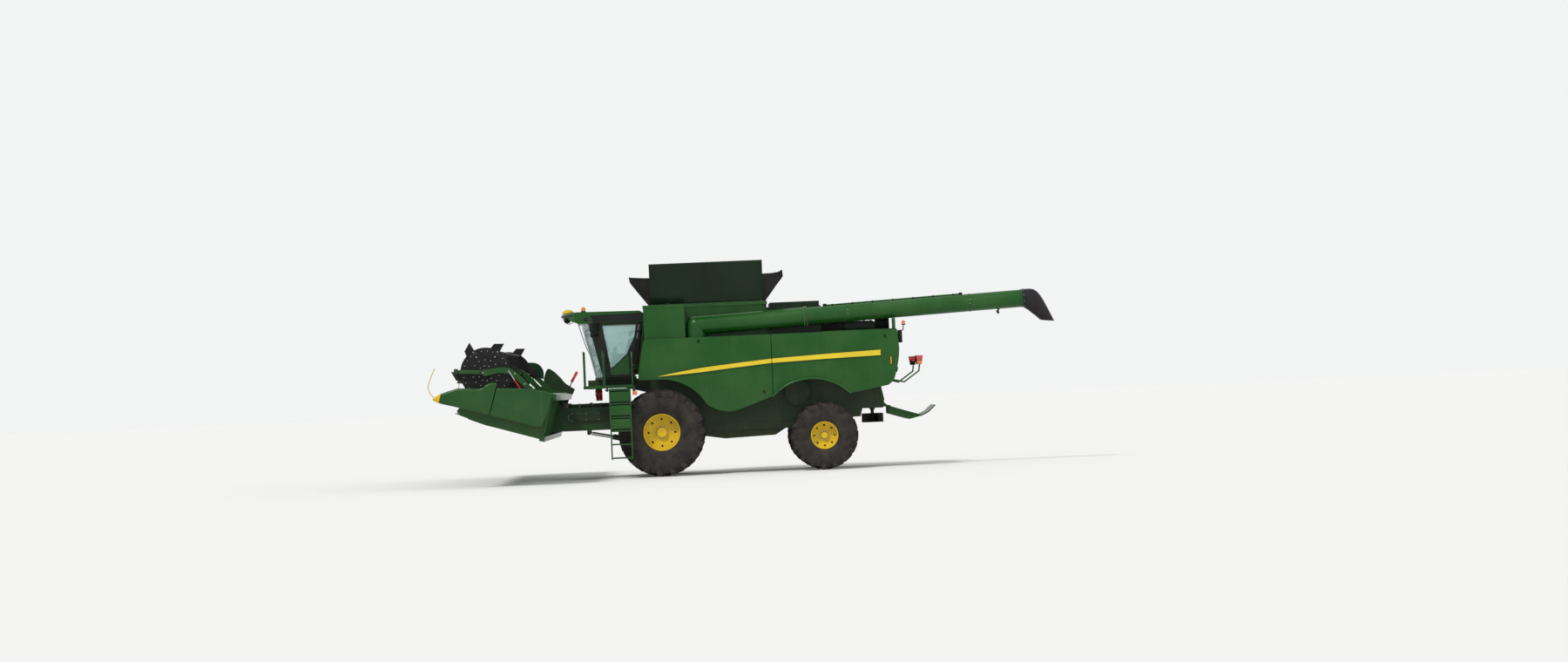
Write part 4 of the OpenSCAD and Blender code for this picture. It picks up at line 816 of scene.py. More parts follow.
def nose_ring(x, grow=0.0):
    z1, z0 = np.interp(x, *zip(*nose_top)) + grow, np.interp(x, *zip(*nose_low)) - grow
    taper = max(0.0, (-4.10 - x) / 0.88)
    y0 = DIVIDER_IN + 0.050 * taper**1.3 - grow
    y1 = DIVIDER_OUT - 0.090 * taper**1.3 + grow
    return rounded_ring(x, y0, y1, z0, z1, 0.055)


NOSE_STATIONS = [
    -4.98, -4.965, -4.93, -4.89, -4.85, -4.78, -4.70, -4.6, -4.5, -4.38, -4.25, -4.12,
    -4.02, -3.98, -3.95, -3.925, -3.90, -3.86, -3.82, -3.78, -3.74, -3.70, -3.665
]
nose = loft([nose_ring(x) for x in NOSE_STATIONS])
hood_outline = [
    (-3.650, 0.650), (-3.650, 1.280),
    *flat_smooth([(-3.60, 1.297), (-3.35, 1.355), (-3.11, 1.41), (-2.80, 1.455), (-2.59, 1.476), (-2.44, 1.468)], 4),
    (-2.392, 1.44), (-2.392, 1.08), (-2.45, 0.69), (-2.52, 0.66), (-2.60, 0.652)
]
hood = plate(hood_outline, DIVIDER_IN, DIVIDER_OUT)
crease = tube([
    (-3.62, DIVIDER_OUT - 0.003, 0.93), (-3.2, DIVIDER_OUT - 0.001, 0.90),
    (-2.85, DIVIDER_OUT - 0.002, 0.80), (-2.72, DIVIDER_OUT - 0.004, 0.74)
], 0.009, 8)
piece("divider_hoods", both_sides(hood), header_green, "header", ("header_dividers",), bevel=0.03)
piece("divider_noses", both_sides(nose), header_green, "header", sharp=50)
piece("divider_creases", both_sides(crease), header_green, "header")
tip = loft([nose_ring(x, 0.008) for x in (-4.972, -4.95, -4.92, -4.88, -4.84, -4.83)])
piece("divider_tips", both_sides(tip), yellow_paint, "header", bevel=0.006)
rod = tube([
    (-4.86, 5.45, 0.715), (-4.98, 5.45, 0.74), (-5.10, 5.45, 0.83), (-5.15, 5.45, 0.94),
    (-5.152, 5.45, 1.08), (-5.135, 5.45, 1.22), (-5.113, 5.45, 1.373)
], 0.0105, 10)
piece("guide_rods", both_sides(rod), yellow_paint, "header")

# %% [markdown]
# Flat trim with openings is drawn as loops in x and z, filled between them and given a thickness. A closed
# tube makes the rubber seals round the panes.

# %% Plates with openings, and closed tubes
def holed_plate(outline, holes, y0, y1):
    bm = bmesh.new()
    for loop in (outline, *holes):
        verts = [bm.verts.new((x, y0, z)) for x, z in loop]
        for a, b in zip(verts, verts[1:] + verts[:1]):
            bm.edges.new((a, b))
    bmesh.ops.triangle_fill(bm, edges=bm.edges[:], use_beauty=True)
    made = bmesh.ops.extrude_face_region(bm, geom=bm.faces[:], use_keep_orig=True)
    bmesh.ops.translate(bm, verts=[v for v in made["geom"] if isinstance(v, bmesh.types.BMVert)], vec=(0, y1 - y0, 0))
    return finished(bm)


def ring_tube(points, radius, sides=8):
    """A closed loop of bar, mitred at each corner."""
    spots = [Vector(p) for p in points]
    flat = (spots[1] - spots[0]).cross(spots[2] - spots[1]).normalized()
    bm = bmesh.new()
    rings = []
    for before, spot, after in zip(spots[-1:] + spots, spots, spots[1:] + spots[:1]):
        a, b = (spot - before).normalized(), (after - spot).normalized()
        out = flat.cross(a + b).normalized()
        wide = 1.0 / max(0.5, math.cos(a.angle(b) / 2))
        ring = [spot + out * math.cos(t) * radius * wide + flat * math.sin(t) * radius for t in around(sides)]
        rings.append([bm.verts.new(p) for p in ring])
    for a, b in zip(rings, rings[1:] + rings[:1]):
        bridge(bm, a, b)
    return finished(bm)


# %% [markdown]
# The cab is green at the roof and under the door's window. Its pillars, the door's border and the band under
# the roof are black, and each pane sits in a rubber seal. The door's window climbs towards the rear at its
# lower edge.

# %% Cab: door border, seals and roof band
DOOR_FACE = -0.990
door_edge = [(-1.284, 2.408), (-1.580, 3.664), (-0.450, 3.664), (-0.676, 2.408)]
door_hole = [
    (-1.165, 2.445), (-1.165, 2.600), (-1.330, 3.640),
    (-0.505, 3.640), (-0.560, 3.340), (-0.735, 2.920), (-0.715, 2.445)
]
window = [(-1.165, 2.600), (-1.330, 3.640), (-0.505, 3.640), (-0.560, 3.340), (-0.760, 2.920), (-1.090, 2.630)]
piece("door_border", holed_plate(door_edge, [door_hole], DOOR_FACE - 0.004, DOOR_FACE + 0.001), black_paint, "door")
seal = ring_tube([(x, DOOR_FACE - 0.001, z) for x, z in window], 0.011)
piece("door_window_seal", seal, belt_rubber, "door")
backing = box_mesh((-0.045, -0.006, -0.10), (0.045, 0.0, 0.10), 0.003)
lever = [
    (-1.262, DOOR_FACE - 0.006, 2.88), (-1.268, DOOR_FACE - 0.034, 2.90),
    (-1.225, DOOR_FACE - 0.040, 2.74), (-1.215, DOOR_FACE - 0.006, 2.75)
]
handle = [moved(backing, turn(-14, "Y"), shift(-1.235, DOOR_FACE - 0.003, 2.82)), tube(lever, 0.009, 8, 4)]
piece("door_handle", joined(handle), black_plastic, "door")

band = [(-1.60, 3.872), (-1.49, 3.702), (-0.352, 3.702), (-0.352, 3.890), (-0.9, 3.880)]
piece("roof_bands", both_sides(plate(band, 1.003, 1.011)), black_paint, bevel=0.002)
gutter = tube([(-1.62, 1.009, 3.882), (-0.9, 1.009, 3.890), (-0.36, 1.009, 3.900)], 0.009, 8, 1)
piece("roof_gutters", both_sides(gutter), green_paint)


def roof_front(y):
    return -0.605 - math.sqrt(1.7**2 - y**2)


visor = []
for y in np.linspace(-0.93, 0.93, 25):
    x0 = max(-2.258, roof_front(y) + 0.03)
    corners = ((x0, 0.0), (-1.955, 0.0), (-1.955, 0.006), (x0, 0.006))
    visor.append([(x, y, 3.85 - (x + 2.26) * 0.11 / 0.31 - drop) for x, drop in corners])
piece("visor_lining", loft(visor), black_plastic, sharp=50)
edge = [(roof_front(y) - 0.002, y, 3.888) for y in np.linspace(-0.93, 0.93, 17)]
piece("visor_edge", tube(edge, 0.016, 8, 1), black_plastic)

RAKE, RAKE_COS, SCREEN_X, SCREEN_Z = 0.2309, 0.9744, -1.540, 2.34
pillar_seals = []
for y in (-0.925, 0.925):
    for f, widen in ((0.195, 1.0), (0.262, 1.018)):
        ends = [(SCREEN_X + f / RAKE_COS - (z - SCREEN_Z) * RAKE, y * widen, z) for z in (2.42, 3.67)]
        pillar_seals.append(tube(ends, 0.008, 6, 1))
piece("pillar_seals", joined(pillar_seals), belt_rubber)

# %% [markdown]
# Mirrors hang from the roof's front corners on bent arms, one large glass above a small wide one. The loop of
# conduit under the visor, the wiper and the grab handle follow the photograph.

# %% Cab: mirrors, wiper, conduit and handle
def rounded_box(low, high, soft):
    """A box whose long edges along x are rounded, lofted along x."""
    return loft([rounded_ring(x, low[1], high[1], low[2], high[2], soft) for x in (low[0], high[0])])


mirror_parts, mirror_glass = [], []
for low, high in (
    ((-0.055, -0.138, -0.05), (0.050, 0.138, 0.172)), ((-0.045, -0.130, -0.172), (0.040, 0.130, -0.065))
):
    shell = rounded_box(low, high, 0.03)
    pane = rounded_box(
        (high[0] - 0.001, low[1] + 0.014, low[2] + 0.014), (high[0] + 0.003, high[1] - 0.014, high[2] - 0.014), 0.02
    )
    for target, mesh in ((mirror_parts, shell), (mirror_glass, pane)):
        target.append(moved(mesh, turn(30, "Z"), shift(-1.480, 1.930, 3.515)))
arm_path = [
    (-1.70, 1.0055, 3.80), (-1.70, 1.20, 3.803), (-1.69, 1.52, 3.785),
    (-1.56, 1.88, 3.755), (-1.49, 1.925, 3.66), (-1.485, 1.925, 3.40)
]
mirror_parts.append(tube(arm_path, 0.016, 10, 6))
mirror_parts.append(box_mesh((-1.745, 1.0052, 3.76), (-1.655, 1.018, 3.84), 0.003))
piece("mirror_housings", both_sides(joined(mirror_parts)), black_plastic, replaces=("mirrors",), bevel=0.008)
piece("mirror_glasses", both_sides(joined(mirror_glass)), mirror_silver)

conduit = [
    (-2.275, -0.55, 3.852), (-2.20, -0.54, 3.745),
    (-2.118, -0.53, 3.70), (-2.03, -0.54, 3.735), (-1.985, -0.55, 3.770)
]
piece("visor_conduit", tube(conduit, 0.007, 8, 6), belt_rubber)


def on_screen(y, z, off):
    """A point in front of the windscreen, which is curved in plan and leans forward."""
    return (SCREEN_X + (2.49 - math.sqrt(2.49**2 - y * y)) / RAKE_COS - (z - SCREEN_Z) * RAKE - off, y, z)


arm_spots = ((0.0, 3.70, 0.05), (0.03, 3.62, 0.055), (0.25, 3.20, 0.045), (0.40, 2.95, 0.026))
blade_spots = ((0.27, 3.38), (0.36, 3.09), (0.42, 2.88), (0.49, 2.62))
wiper = [
    tube([on_screen(*spot) for spot in arm_spots], 0.009, 8, 4),
    tube([on_screen(y, z, 0.013) for y, z in blade_spots], 0.010, 6, 3),
    collar(0.0, 0.03, -0.02, 0.02, 20, "X", on_screen(0.0, 3.70, 0.03)),
]
piece("wiper", joined(wiper), black_plastic, sharp=50)
grip = [(-0.352, -1.006, 3.62), (-0.348, -1.045, 3.60), (-0.400, -1.050, 3.05), (-0.412, -0.975, 3.02)]
piece("grab_handle", tube(grip, 0.011, 8, 5), green_paint)

# %% [markdown]
# The seat is upholstered: a crowned cushion and a curved backrest with a seam down each side and two sewn
# channels, on a bellows that hides the spring. A wheel with a fat rim and the console's levers stand before it.

# %% Cab: seat, wheel and console
def pad(length, width, thick, crown, pinch, channels, nx=22, ny=18):
    """A crowned pad in its own x and y, flat below; its corners reach out and its sides pull in."""
    bm = bmesh.new()
    top, low = [], []
    for i in range(nx + 1):
        top.append([])
        low.append([])
        for j in range(ny + 1):
            u, v = 2 * i / nx - 1, 2 * j / ny - 1
            x = u * length / 2 * (1 - pinch * (1 - v * v))
            y = v * width / 2 * (1 - pinch * (1 - u * u))
            edge = max(0.0, (1 - abs(u) ** 5) * (1 - abs(v) ** 5)) ** 0.5
            groove = sum(math.exp(-(((u - c) / 0.05) ** 2)) for c in channels) * 0.16
            sew = math.exp(-(((abs(v) - 0.68) / 0.045) ** 2)) * 0.14
            z = thick * edge * (1 + crown * (1 - u * u) * (1 - v * v) - groove - sew)
            top[i].append(bm.verts.new((x, y, z)))
            low[i].append(bm.verts.new((x, y, 0.06 * thick * edge - 0.002)))
    for grid in (top, low):
        for a, b in zip(grid, grid[1:]):
            for k in range(ny):
                bm.faces.new((a[k], a[k + 1], b[k + 1], b[k]))
    for i in range(nx):
        for j in (0, ny):
            bm.faces.new((top[i][j], top[i + 1][j], low[i + 1][j], low[i][j]))
    for j in range(ny):
        for i in (0, nx):
            bm.faces.new((top[i][j], top[i][j + 1], low[i][j + 1], low[i][j]))
    return finished(bm)


def seat_pad(lean, at, *sizes):
    return moved(pad(*sizes), *([turn(-90, "Y"), turn(lean, "Y")] if lean else []), shift(*at))


SEAT = (
    ("seat_cushion", seat_pad(0, (-0.930, 0, 2.7485), 0.46, 0.47, 0.085, 0.30, 0.03, (-0.35, 0.1)), 0.8),
    ("seat_backrest", seat_pad(10, (-0.700, 0, 3.015), 0.62, 0.45, 0.075, 0.30, 0.03, (-0.3, 0.15)), 0.8),
    ("seat_headrest", seat_pad(10, (-0.640, 0, 3.415), 0.15, 0.26, 0.06, 0.3, 0.02, ()), 0.9),
)
for name, mesh, fill in SEAT:
    piece(name, mesh, seat_cloth, sharp=70)

wheel_place = shift(-1.340, 0, 3.0) @ turn(-20, "Y")
rim_path = [(0.190 * math.cos(a), 0.190 * math.sin(a), 0) for a in around(40)]
wheel = [ring_tube(rim_path, 0.0155, 10), box_mesh((-0.05, -0.05, -0.02), (0.05, 0.05, 0.022), 0.012)]
wheel = [moved(mesh, wheel_place) for mesh in wheel]
levers = [tube([(-1.12 + k * 0.05, 0.355, 2.955), (-1.13 + k * 0.05, 0.355, 3.03)], 0.008, 8, 1) for k in range(3)]
levers.append(moved(rounded_box((-0.035, -0.03, -0.01), (0.035, 0.03, 0.10), 0.014), shift(-1.06, 0.355, 3.02)))
levers.append(tube([(-1.06, 0.355, 2.955), (-1.06, 0.355, 3.03)], 0.012, 8, 1))
piece("cab_controls", joined([*wheel, *levers]), black_plastic, sharp=50)
folds = [(0.150 - 0.012 * (k % 2), 2.41 + 0.02 * k) for k in range(11)]
piece("seat_bellows", spun([(0.0, 2.41), *folds, (0.0, 2.61)], 32, "Z", (-0.920, 0, 0)), belt_rubber, sharp=60)

# %% [markdown]
# The CAD lamps are one set; here each gets its housing, bezel and lens in its own colour. A yellow dome sits
# at the front of the roof, with an amber beacon behind it. Tail lamps stand on arms and on the rear face.

# %% Lamps, beacons and the yellow dome
def lamp_disc(place, radius, depth):
    """A round lamp that faces +z before it is placed: its housing with bezel, and its lens."""
    shell = [
        (0.0, -depth), (radius * 0.8, -depth), (radius, -depth * 0.4), (radius, 0.006),
        (radius * 0.88, 0.006), (radius * 0.86, -0.002), (0.0, -0.002)
    ]
    glass = [(0.0, -0.0015), (radius * 0.855, -0.0015), (radius * 0.855, 0.002), (radius * 0.6, 0.006), (0.0, 0.0085)]
    return [moved(spun(profile, 32, "Z"), place) for profile in (shell, glass)]


dark, clear_parts, amber_parts, red_parts = [], [], [], []
round_lamps = [
    (clear_parts, shift(-2.218, y, 3.800) @ turn(-90, "Y"), 0.058, 0.09)
    for y in (-0.68, -0.43, -0.18, 0.18, 0.43, 0.68)
]
for sign in (-1, 1):
    for y, target in ((1.08, red_parts), (1.25, amber_parts)):
        round_lamps.append((target, shift(5.6345, sign * y, 2.2925) @ turn(105.07, "Y"), 0.060, 0.03))
for target, *lamp in round_lamps:
    shell, glass = lamp_disc(*lamp)
    dark.append(shell)
    target.append(glass)
for sign in (-1, 1):
    y0, y1 = sorted((sign * 1.23, sign * 1.44))
    at = shift(6.152, (y0 + y1) / 2, 2.497) @ turn(sign * 58, "Z")
    for target, x0, x1, z0, z1, side in (
        (dark, -0.030, 0.012, -0.105, 0.105, 0.0), (red_parts, 0.011, 0.030, -0.020, 0.098, 0.008),
        (amber_parts, 0.011, 0.030, -0.098, -0.026, 0.008), (red_parts, -0.036, -0.029, -0.015, 0.090, 0.02),
    ):
        lamp = box_mesh((x0, side - 0.105, z0), (x1, 0.105 - side, z1), 0.006)
        for v in lamp.vertices:
            v.co.y *= 0.80 + v.co.z * 1.9
        target.append(moved(lamp, at))
BASE = [(0.0, 0.0), (0.062, 0.0), (0.062, 0.018), (0.052, 0.026), (0.0, 0.026)]
DOME = [(0.0, 0.025), (0.050, 0.025), (0.050, 0.085), (0.042, 0.108), (0.024, 0.122), (0.0, 0.126)]
for at in ((-1.76, -0.70, 3.9695), (5.54, 1.20, 3.2705)):
    dark.append(spun(BASE, 28, "Z", at))
    amber_parts.append(spun(DOME, 28, "Z", at))
piece("lamp_housings", joined(dark), black_plastic, replaces=("lamps",), sharp=45)
for name, parts, finish in (
    ("clear", clear_parts, lamp_clear), ("amber", amber_parts, lamp_amber), ("red", red_parts, lamp_red)
):
    piece(f"lamp_lenses_{name}", joined(parts), finish, sharp=60)
cap = [(0.0, 3.957), (0.135, 3.957), (0.140, 3.978), (0.128, 4.010), (0.095, 4.040), (0.05, 4.058), (0.0, 4.063)]
piece("receiver_dome", spun(cap, 48, "Z", (-2.150, 0.0, 0.0)), yellow_paint, sharp=60)
stalk = tube([(-2.424, 5.30, 1.462), (-2.424, 5.30, 1.56), (-2.385, 5.30, 1.78)], 0.013, 8, 2)
piece("header_marker_stalk", stalk, black_plastic, "header")
marker_lamp = moved(
    rounded_box((-0.035, -0.06, 0.0), (0.035, 0.06, 0.30), 0.02), turn(14, "Y"), shift(-2.395, 5.30, 1.76)
)
piece("header_marker_lamp", marker_lamp, lamp_red, "header", bevel=0.006)

# %% [markdown]
# The ladder is seen from its face: green side plates, closed risers and dark ribbed treads. The platform has
# a ribbed top with a green edge and a red extinguisher at its front, and an amber side lamp hangs below it.

# %% Ladder, platform and extinguisher
X0, X1, Y_OUT, Y_IN = -1.200, -0.690, -2.110, -1.925
LEVELS = [0.470 + 0.320 * i for i in range(6)]
treads = [
    box_mesh((X0 + 0.031, Y_OUT + 0.002, z + 0.0255), (X1 - 0.031, Y_IN - 0.014, z + 0.0285), 0.001) for z in LEVELS
]
for z in LEVELS[:-1]:
    for y in (Y_OUT + 0.012 + k * 0.018 for k in range(9)):
        treads.append(box_mesh((X0 + 0.04, y, z + 0.029), (X1 - 0.04, y + 0.007, z + 0.034)))
risers = [
    box_mesh((X0 + 0.031, Y_OUT + 0.006, z + 0.060), (X1 - 0.031, Y_OUT + 0.010, z + 0.290), 0.0015)
    for z in LEVELS[2:5]
]
piece("ladder_treads", joined(treads), step_plastic, "steps")
piece("ladder_risers", joined(risers), green_paint, "steps")
skirt = [
    box_mesh((-1.790, -1.8735, 2.130), (-0.640, -1.8705, 2.200), 0.001),
    box_mesh((-1.7935, -1.870, 2.130), (-1.7905, -0.960, 2.200), 0.001)
]
piece("platform_skirt", joined(skirt), header_green)
mats = [box_mesh((x, -1.860, 2.2005), (x + 0.012, -0.965, 2.2045)) for x in np.arange(-1.78, -0.64, 0.03)]
piece("platform_tread", joined(mats), step_plastic)
BOTTLE_AT = (-1.450, -1.200, 0.0)
bottle = [
    (0.0, 1.852), (0.060, 1.852), (0.0762, 1.872), (0.0762, 2.090),
    (0.060, 2.128), (0.022, 2.145), (0.022, 2.158), (0.0, 2.158)
]
piece("extinguisher", spun(bottle, 36, "Z", BOTTLE_AT), red_paint, sharp=50)
straps = [collar(0.0765, 0.0785, z, z + 0.018, 36, "Z", BOTTLE_AT) for z in (1.92, 2.05)]
hose = [(-1.450, -1.200, 2.150), (-1.52, -1.235, 2.135), (-1.535, -1.25, 2.02), (-1.528, -1.24, 1.95)]
piece("extinguisher_straps", joined([*straps, tube(hose, 0.007, 8, 4)]), black_plastic)
side_marker = moved(rounded_box((-0.055, -0.012, -0.045), (0.055, 0.012, 0.045), 0.01), shift(-0.595, -1.885, 1.998))
piece("side_marker", side_marker, lamp_amber, bevel=0.004)
bracket = [
    box_mesh((-0.645, -1.872, 1.985), (-0.575, -1.866, 2.165)),
    box_mesh((-0.650, -1.874, 1.983), (-0.545, -1.868, 2.013))
]
piece("side_marker_bracket", joined(bracket), frame_green)

# %% [markdown]
# The reel hangs between two arched arms and one in the middle. Each arm is one smooth plate with soft edges, a
# square bar at its front end and a bearing for the reel's shaft. The far end has the reel drive's cover and
# the raised end of the header's back.

# %% Reel arms, front bars and covers
ARM_TOP = [
    (-2.868, 1.490), (-2.935, 1.520), (-3.061, 1.592), (-3.221, 1.688),
    (-3.381, 1.765), (-3.521, 1.792), (-3.700, 1.752), (-3.880, 1.675), (-4.060, 1.605)
]
ARM_LOW = [
    (-4.060, 1.500), (-3.900, 1.520), (-3.740, 1.600), (-3.560, 1.655),
    (-3.420, 1.640), (-3.260, 1.570), (-3.080, 1.460), (-2.940, 1.405), (-2.872, 1.420)
]
FRONT_BAR = [(-4.055, 1.602), (-4.560, 1.472), (-4.676, 1.440), (-4.668, 1.398), (-4.545, 1.385), (-4.055, 1.497)]
REEL_X, REEL_Z = -3.980, 1.550


def reel_arm(y0, y1):
    """One arm: its arched plate, its front bar, the ring of the reel's shaft and the eye of its pivot."""
    return [
        plate(flat_smooth(ARM_TOP, 5) + flat_smooth(ARM_LOW, 5), y0, y1),
        plate(FRONT_BAR, y0 + 0.003, y1 - 0.003),
        collar(0.0303, 0.075, y0 - 0.001, y1 + 0.001, 40, "Y", (REEL_X, 0, REEL_Z)),
        collar(0.0253, 0.058, y0 - 0.002, y1 + 0.002, 36, "Y", (-2.915, 0, 1.456)),
    ]


outer = [*reel_arm(5.240, 5.290), collar(0.0, 0.012, 5.285, 5.340, 20, "Y", (-3.480, 0, 1.720))]
arms = [*outer, *[mirrored(mesh) for mesh in outer], *reel_arm(-0.030, 0.030)]
piece("reel_arm_plates", joined(arms), header_green, "reel_carrier", ("reel_arms",), bevel=0.005)
front_box = box_mesh((-4.575, 5.291, 1.395), (-4.105, 5.330, 1.480), 0.006)
front_box = moved(front_box, shift(4.34, 0, -1.4375), turn(-13.5, "Y"), shift(-4.34, 0, 1.490))
piece("reel_front_bars", both_sides(front_box), header_green, "reel_carrier")
bar_end = box_mesh((-0.045, 5.291, -0.065), (0.045, 5.325, 0.060), 0.004)
piece(
    "reel_bar_ends", both_sides(moved(bar_end, turn(-10, "Y"), shift(-4.640, 0, 1.420))), frame_green, "reel_carrier"
)
arm_spots = ((-4.13, 1.535), (-4.04, 1.545), (-3.34, 1.70), (-3.06, 1.53))
spots = [((x, sign * 5.292, z), (0, sign, 0)) for sign in (-1, 1) for x, z in arm_spots]
piece("reel_arm_bolts", bolts(spots, 0.018, 0.014), body="reel_carrier")
drive_cover = [
    (-3.865, 1.66), (-3.87, 1.80),
    *flat_smooth([
        (-3.855, 1.848), (-3.74, 1.918), (-3.638, 1.957), (-3.52, 1.99), (-3.407, 2.006),
        (-3.33, 1.998), (-3.259, 1.966), (-3.19, 1.905), (-3.155, 1.855), (-3.125, 1.77), (-3.10, 1.66)
    ], 3)
]
tabs = [box_mesh((x - 0.02, 5.2905, 1.665), (x + 0.02, 5.3415, 1.70), 0.002) for x in (-3.70, -3.30)]
tabs += [plate([(-3.72, 1.68), (-3.28, 1.68), (-3.28, 1.70), (-3.72, 1.70)], 5.341, 5.343)]
piece(
    "reel_drive_cover", joined([plate(drive_cover, 5.3415, 5.349), *tabs]), frame_green, "reel_carrier", bevel=0.003
)
end_fin = [
    (-2.43, 1.40), (-2.30, 1.43), (-2.268, 1.604),
    *flat_smooth([
        (-2.30, 1.615), (-2.534, 1.69), (-2.68, 1.79), (-2.825, 1.877), (-2.93, 1.925),
        (-3.026, 1.949), (-3.07, 1.93), (-3.095, 1.85), (-3.10, 1.70), (-3.07, 1.46)
    ], 3),
    (-3.05, 1.38)
]
piece("header_end_fin", plate(end_fin, 5.3705, 5.3735), frame_green, "header", bevel=0.001)

# %% [markdown]
# The mouth of the unloading tube is a bent rubber spout, deeper than the tube at its elbow and cut level at
# its lip. It is lofted through oval rings, each given by its point on the outer and the inner bend, with a
# wall. A band with bolts clamps it. The tube's ring, its cable duct and a small lamp follow.

# %% Unloading tube: spout, clamp, ring bolts, duct clips and lamp
to_tube = to_frame @ shift(0.905, -1.205, 3.530) @ turn(-2.4, "Y")
spout_bends = [
    ((7.782, 0.215), (7.782, -0.215)), ((7.88, 0.215), (7.85, -0.262)), ((7.98, 0.211), (7.905, -0.305)),
    ((8.06, 0.192), (7.945, -0.345)), ((8.14, 0.130), (7.985, -0.382)), ((8.21, 0.035), (8.03, -0.42)),
    ((8.275, -0.09), (8.07, -0.46)), ((8.34, -0.24), (8.11, -0.50)), ((8.405, -0.39), (8.14, -0.53)),
    ((8.490, -0.598), (8.165, -0.548)),
]


def oval(out, low, width, steps=40):
    out, low = Vector((out[0], 0, out[1])), Vector((low[0], 0, low[1]))
    middle, reach = (out + low) / 2, (out - low) / 2
    return [middle + reach * math.cos(t) + Vector((0, width * math.sin(t), 0)) for t in around(steps)]


def walled(rings, wall):
    """A tube with a wall, through outer rings that are drawn in for the inner ones."""
    inner = []
    for ring in rings:
        middle = sum(ring, Vector()) / len(ring)
        inner.append([p + (middle - p).normalized() * wall for p in ring])
    bm = bmesh.new()
    skins = [[[bm.verts.new(p) for p in ring] for ring in sheet] for sheet in (rings, inner)]
    for sheet in skins:
        for a, b in zip(sheet, sheet[1:]):
            bridge(bm, a, b)
    for end in (0, -1):
        bridge(bm, skins[0][end], skins[1][end])
    return finished(bm)


spout_rings = []
for i, (a, b) in enumerate(zip(spout_bends, spout_bends[1:])):
    for k in range(3):
        pair = [[p[c] + (q[c] - p[c]) * k / 3 for c in (0, 1)] for p, q in zip(a, b)]
        swell = 0.005 if k == 1 and i % 2 else 0.0
        spout_rings.append(oval(*pair, 0.215 - 0.002 * i + swell))
spout_rings.append(oval(*spout_bends[-1], 0.197))
boot = walled(spout_rings, 0.012)
piece("spout_boot", boot, spout_rubber, "unloader", ("unloader_spout",), sharp=50, place=to_tube)
piece("spout_clamps", collar(0.2155, 0.2205, 7.789, 7.789 + 0.035, 64, "X"), dark_green, "unloader", place=to_tube)

spots = []
for a in around(28, 0.5):
    spots += [((u, 0.224 * math.sin(a), 0.224 * math.cos(a)), (way, 0, 0)) for u, way in ((2.568, -1), (2.632, 1))]
for a in around(10):
    spots.append(((7.806, 0.222 * math.sin(a), 0.222 * math.cos(a)), (0, math.sin(a), math.cos(a))))
for u in (3.612, 6.512):
    spots += [((u, -0.216 * math.cos(t), 0.216 * math.sin(t)), (0, -math.cos(t), math.sin(t))) for t in (0.35, -0.1)]
piece("tube_bolts", bolts(spots, 0.011, 0.014), body="unloader", place=to_tube)
shell, glass = lamp_disc(shift(7.150, 0, -0.285) @ turn(-115, "Y"), 0.045, 0.05)
clips = [shell, tube([(7.19, 0, -0.215), (7.175, 0, -0.275)], 0.010, 8, 1)]
clips += [box_mesh((u, -0.034, 0.203), (u + 0.03, 0.034, 0.246), 0.004) for u in np.arange(3.25, 6.2, 0.48)]
for low, high, soft in (
    ((3.04, -0.03, 0.200), (3.13, 0.03, 0.262), 0.008), ((6.28, -0.03, 0.200), (6.36, 0.03, 0.258), 0.008),
    ((7.165, -0.022, -0.236), (7.215, 0.022, -0.200), 0.004),
):
    clips.append(box_mesh(low, high, soft))
piece("tube_duct_clips", joined(clips), black_plastic, "unloader", place=to_tube)
piece("tube_lamp_lens", glass, lamp_clear, "unloader", sharp=60, place=to_tube)

# %% [markdown]
# Rims are pressed steel. Each gets a rolled edge on both sides and a ring of hexagon nuts round its hub, set by
# the same tree as the other bolts, so they turn with their wheel.

# %% Rims: rolled edges and wheel nuts
for place, x, y, radius, width, rim, _, hub in WHEELS:
    for side, sign in SIDES:
        edges = [circle((x, sign * (y + reach * width), radius), rim - 0.010, 72) for reach in (0.388, -0.388)]
        nuts = ring_of_bolts((x, sign * (y + 0.062), radius), hub, 10, sign)
        body = f"wheel_{place}_{side}"
        piece(f"rim_edges_{place}_{side}", joined([ring_tube(loop, 0.011) for loop in edges]), yellow_paint, body)
        piece(f"wheel_nuts_{place}_{side}", bolts(nuts, 0.016, 0.024), body=body)


# %% [markdown]
# What repeats in a straight row comes from a second tree: it takes one shape and lays copies along a line. The
# knife has a bright three-cornered section and a hold-down clip for every second guard.

# %% Rows of one shape, and the knife
ROWS, given, put = copies_tree("row_of_one_shape", ("Count", "Int"), ("Step", "Vector"))
line = ROWS.nodes.new("GeometryNodeMeshLine")
for start, end in (
    (given["Count"], line.inputs["Count"]), (given["Step"], line.inputs["Offset"]),
    (line.outputs["Mesh"], put["Points"]), (given["Geometry"], put["Instance"]),
):
    ROWS.links.new(start, end)

PITCH, KNIFE_END = 0.0762, -5.334
KNIFE_BACK, KNIFE_FRONT = -4.270, -4.375
blade = [(KNIFE_BACK, -0.034), (KNIFE_FRONT, -0.007), (KNIFE_FRONT, 0.007), (KNIFE_BACK, 0.034)]
section = loft([[(x, KNIFE_END + y, z) for x, y in blade] for z in (0.5082, 0.5108)])
clip = box_mesh((-4.300, -5.296, 0.5110), (-4.238, -5.276, 0.5170), 0.002)
# The knife sections use the auger's steel, whose colour holds painted shade as well as dull wear.
for name, shape, count, step, finish in (
    ("knife_sections", section, 141, PITCH, auger_steel_and_shade), ("knife_clips", clip, 70, 2 * PITCH, cast_iron),
):
    piece(name, grown(shape, ROWS, {"Count": count, "Step": (0, step, 0), "Finish": finish}), body="header")


# %% [markdown]
# The reel's end disc is dark sheet with a ring of bolts, and each bat ends in a short crank with a bright pin. On
# a real reel the cranks keep the tines upright. Here they stay within the gap beside the arm.

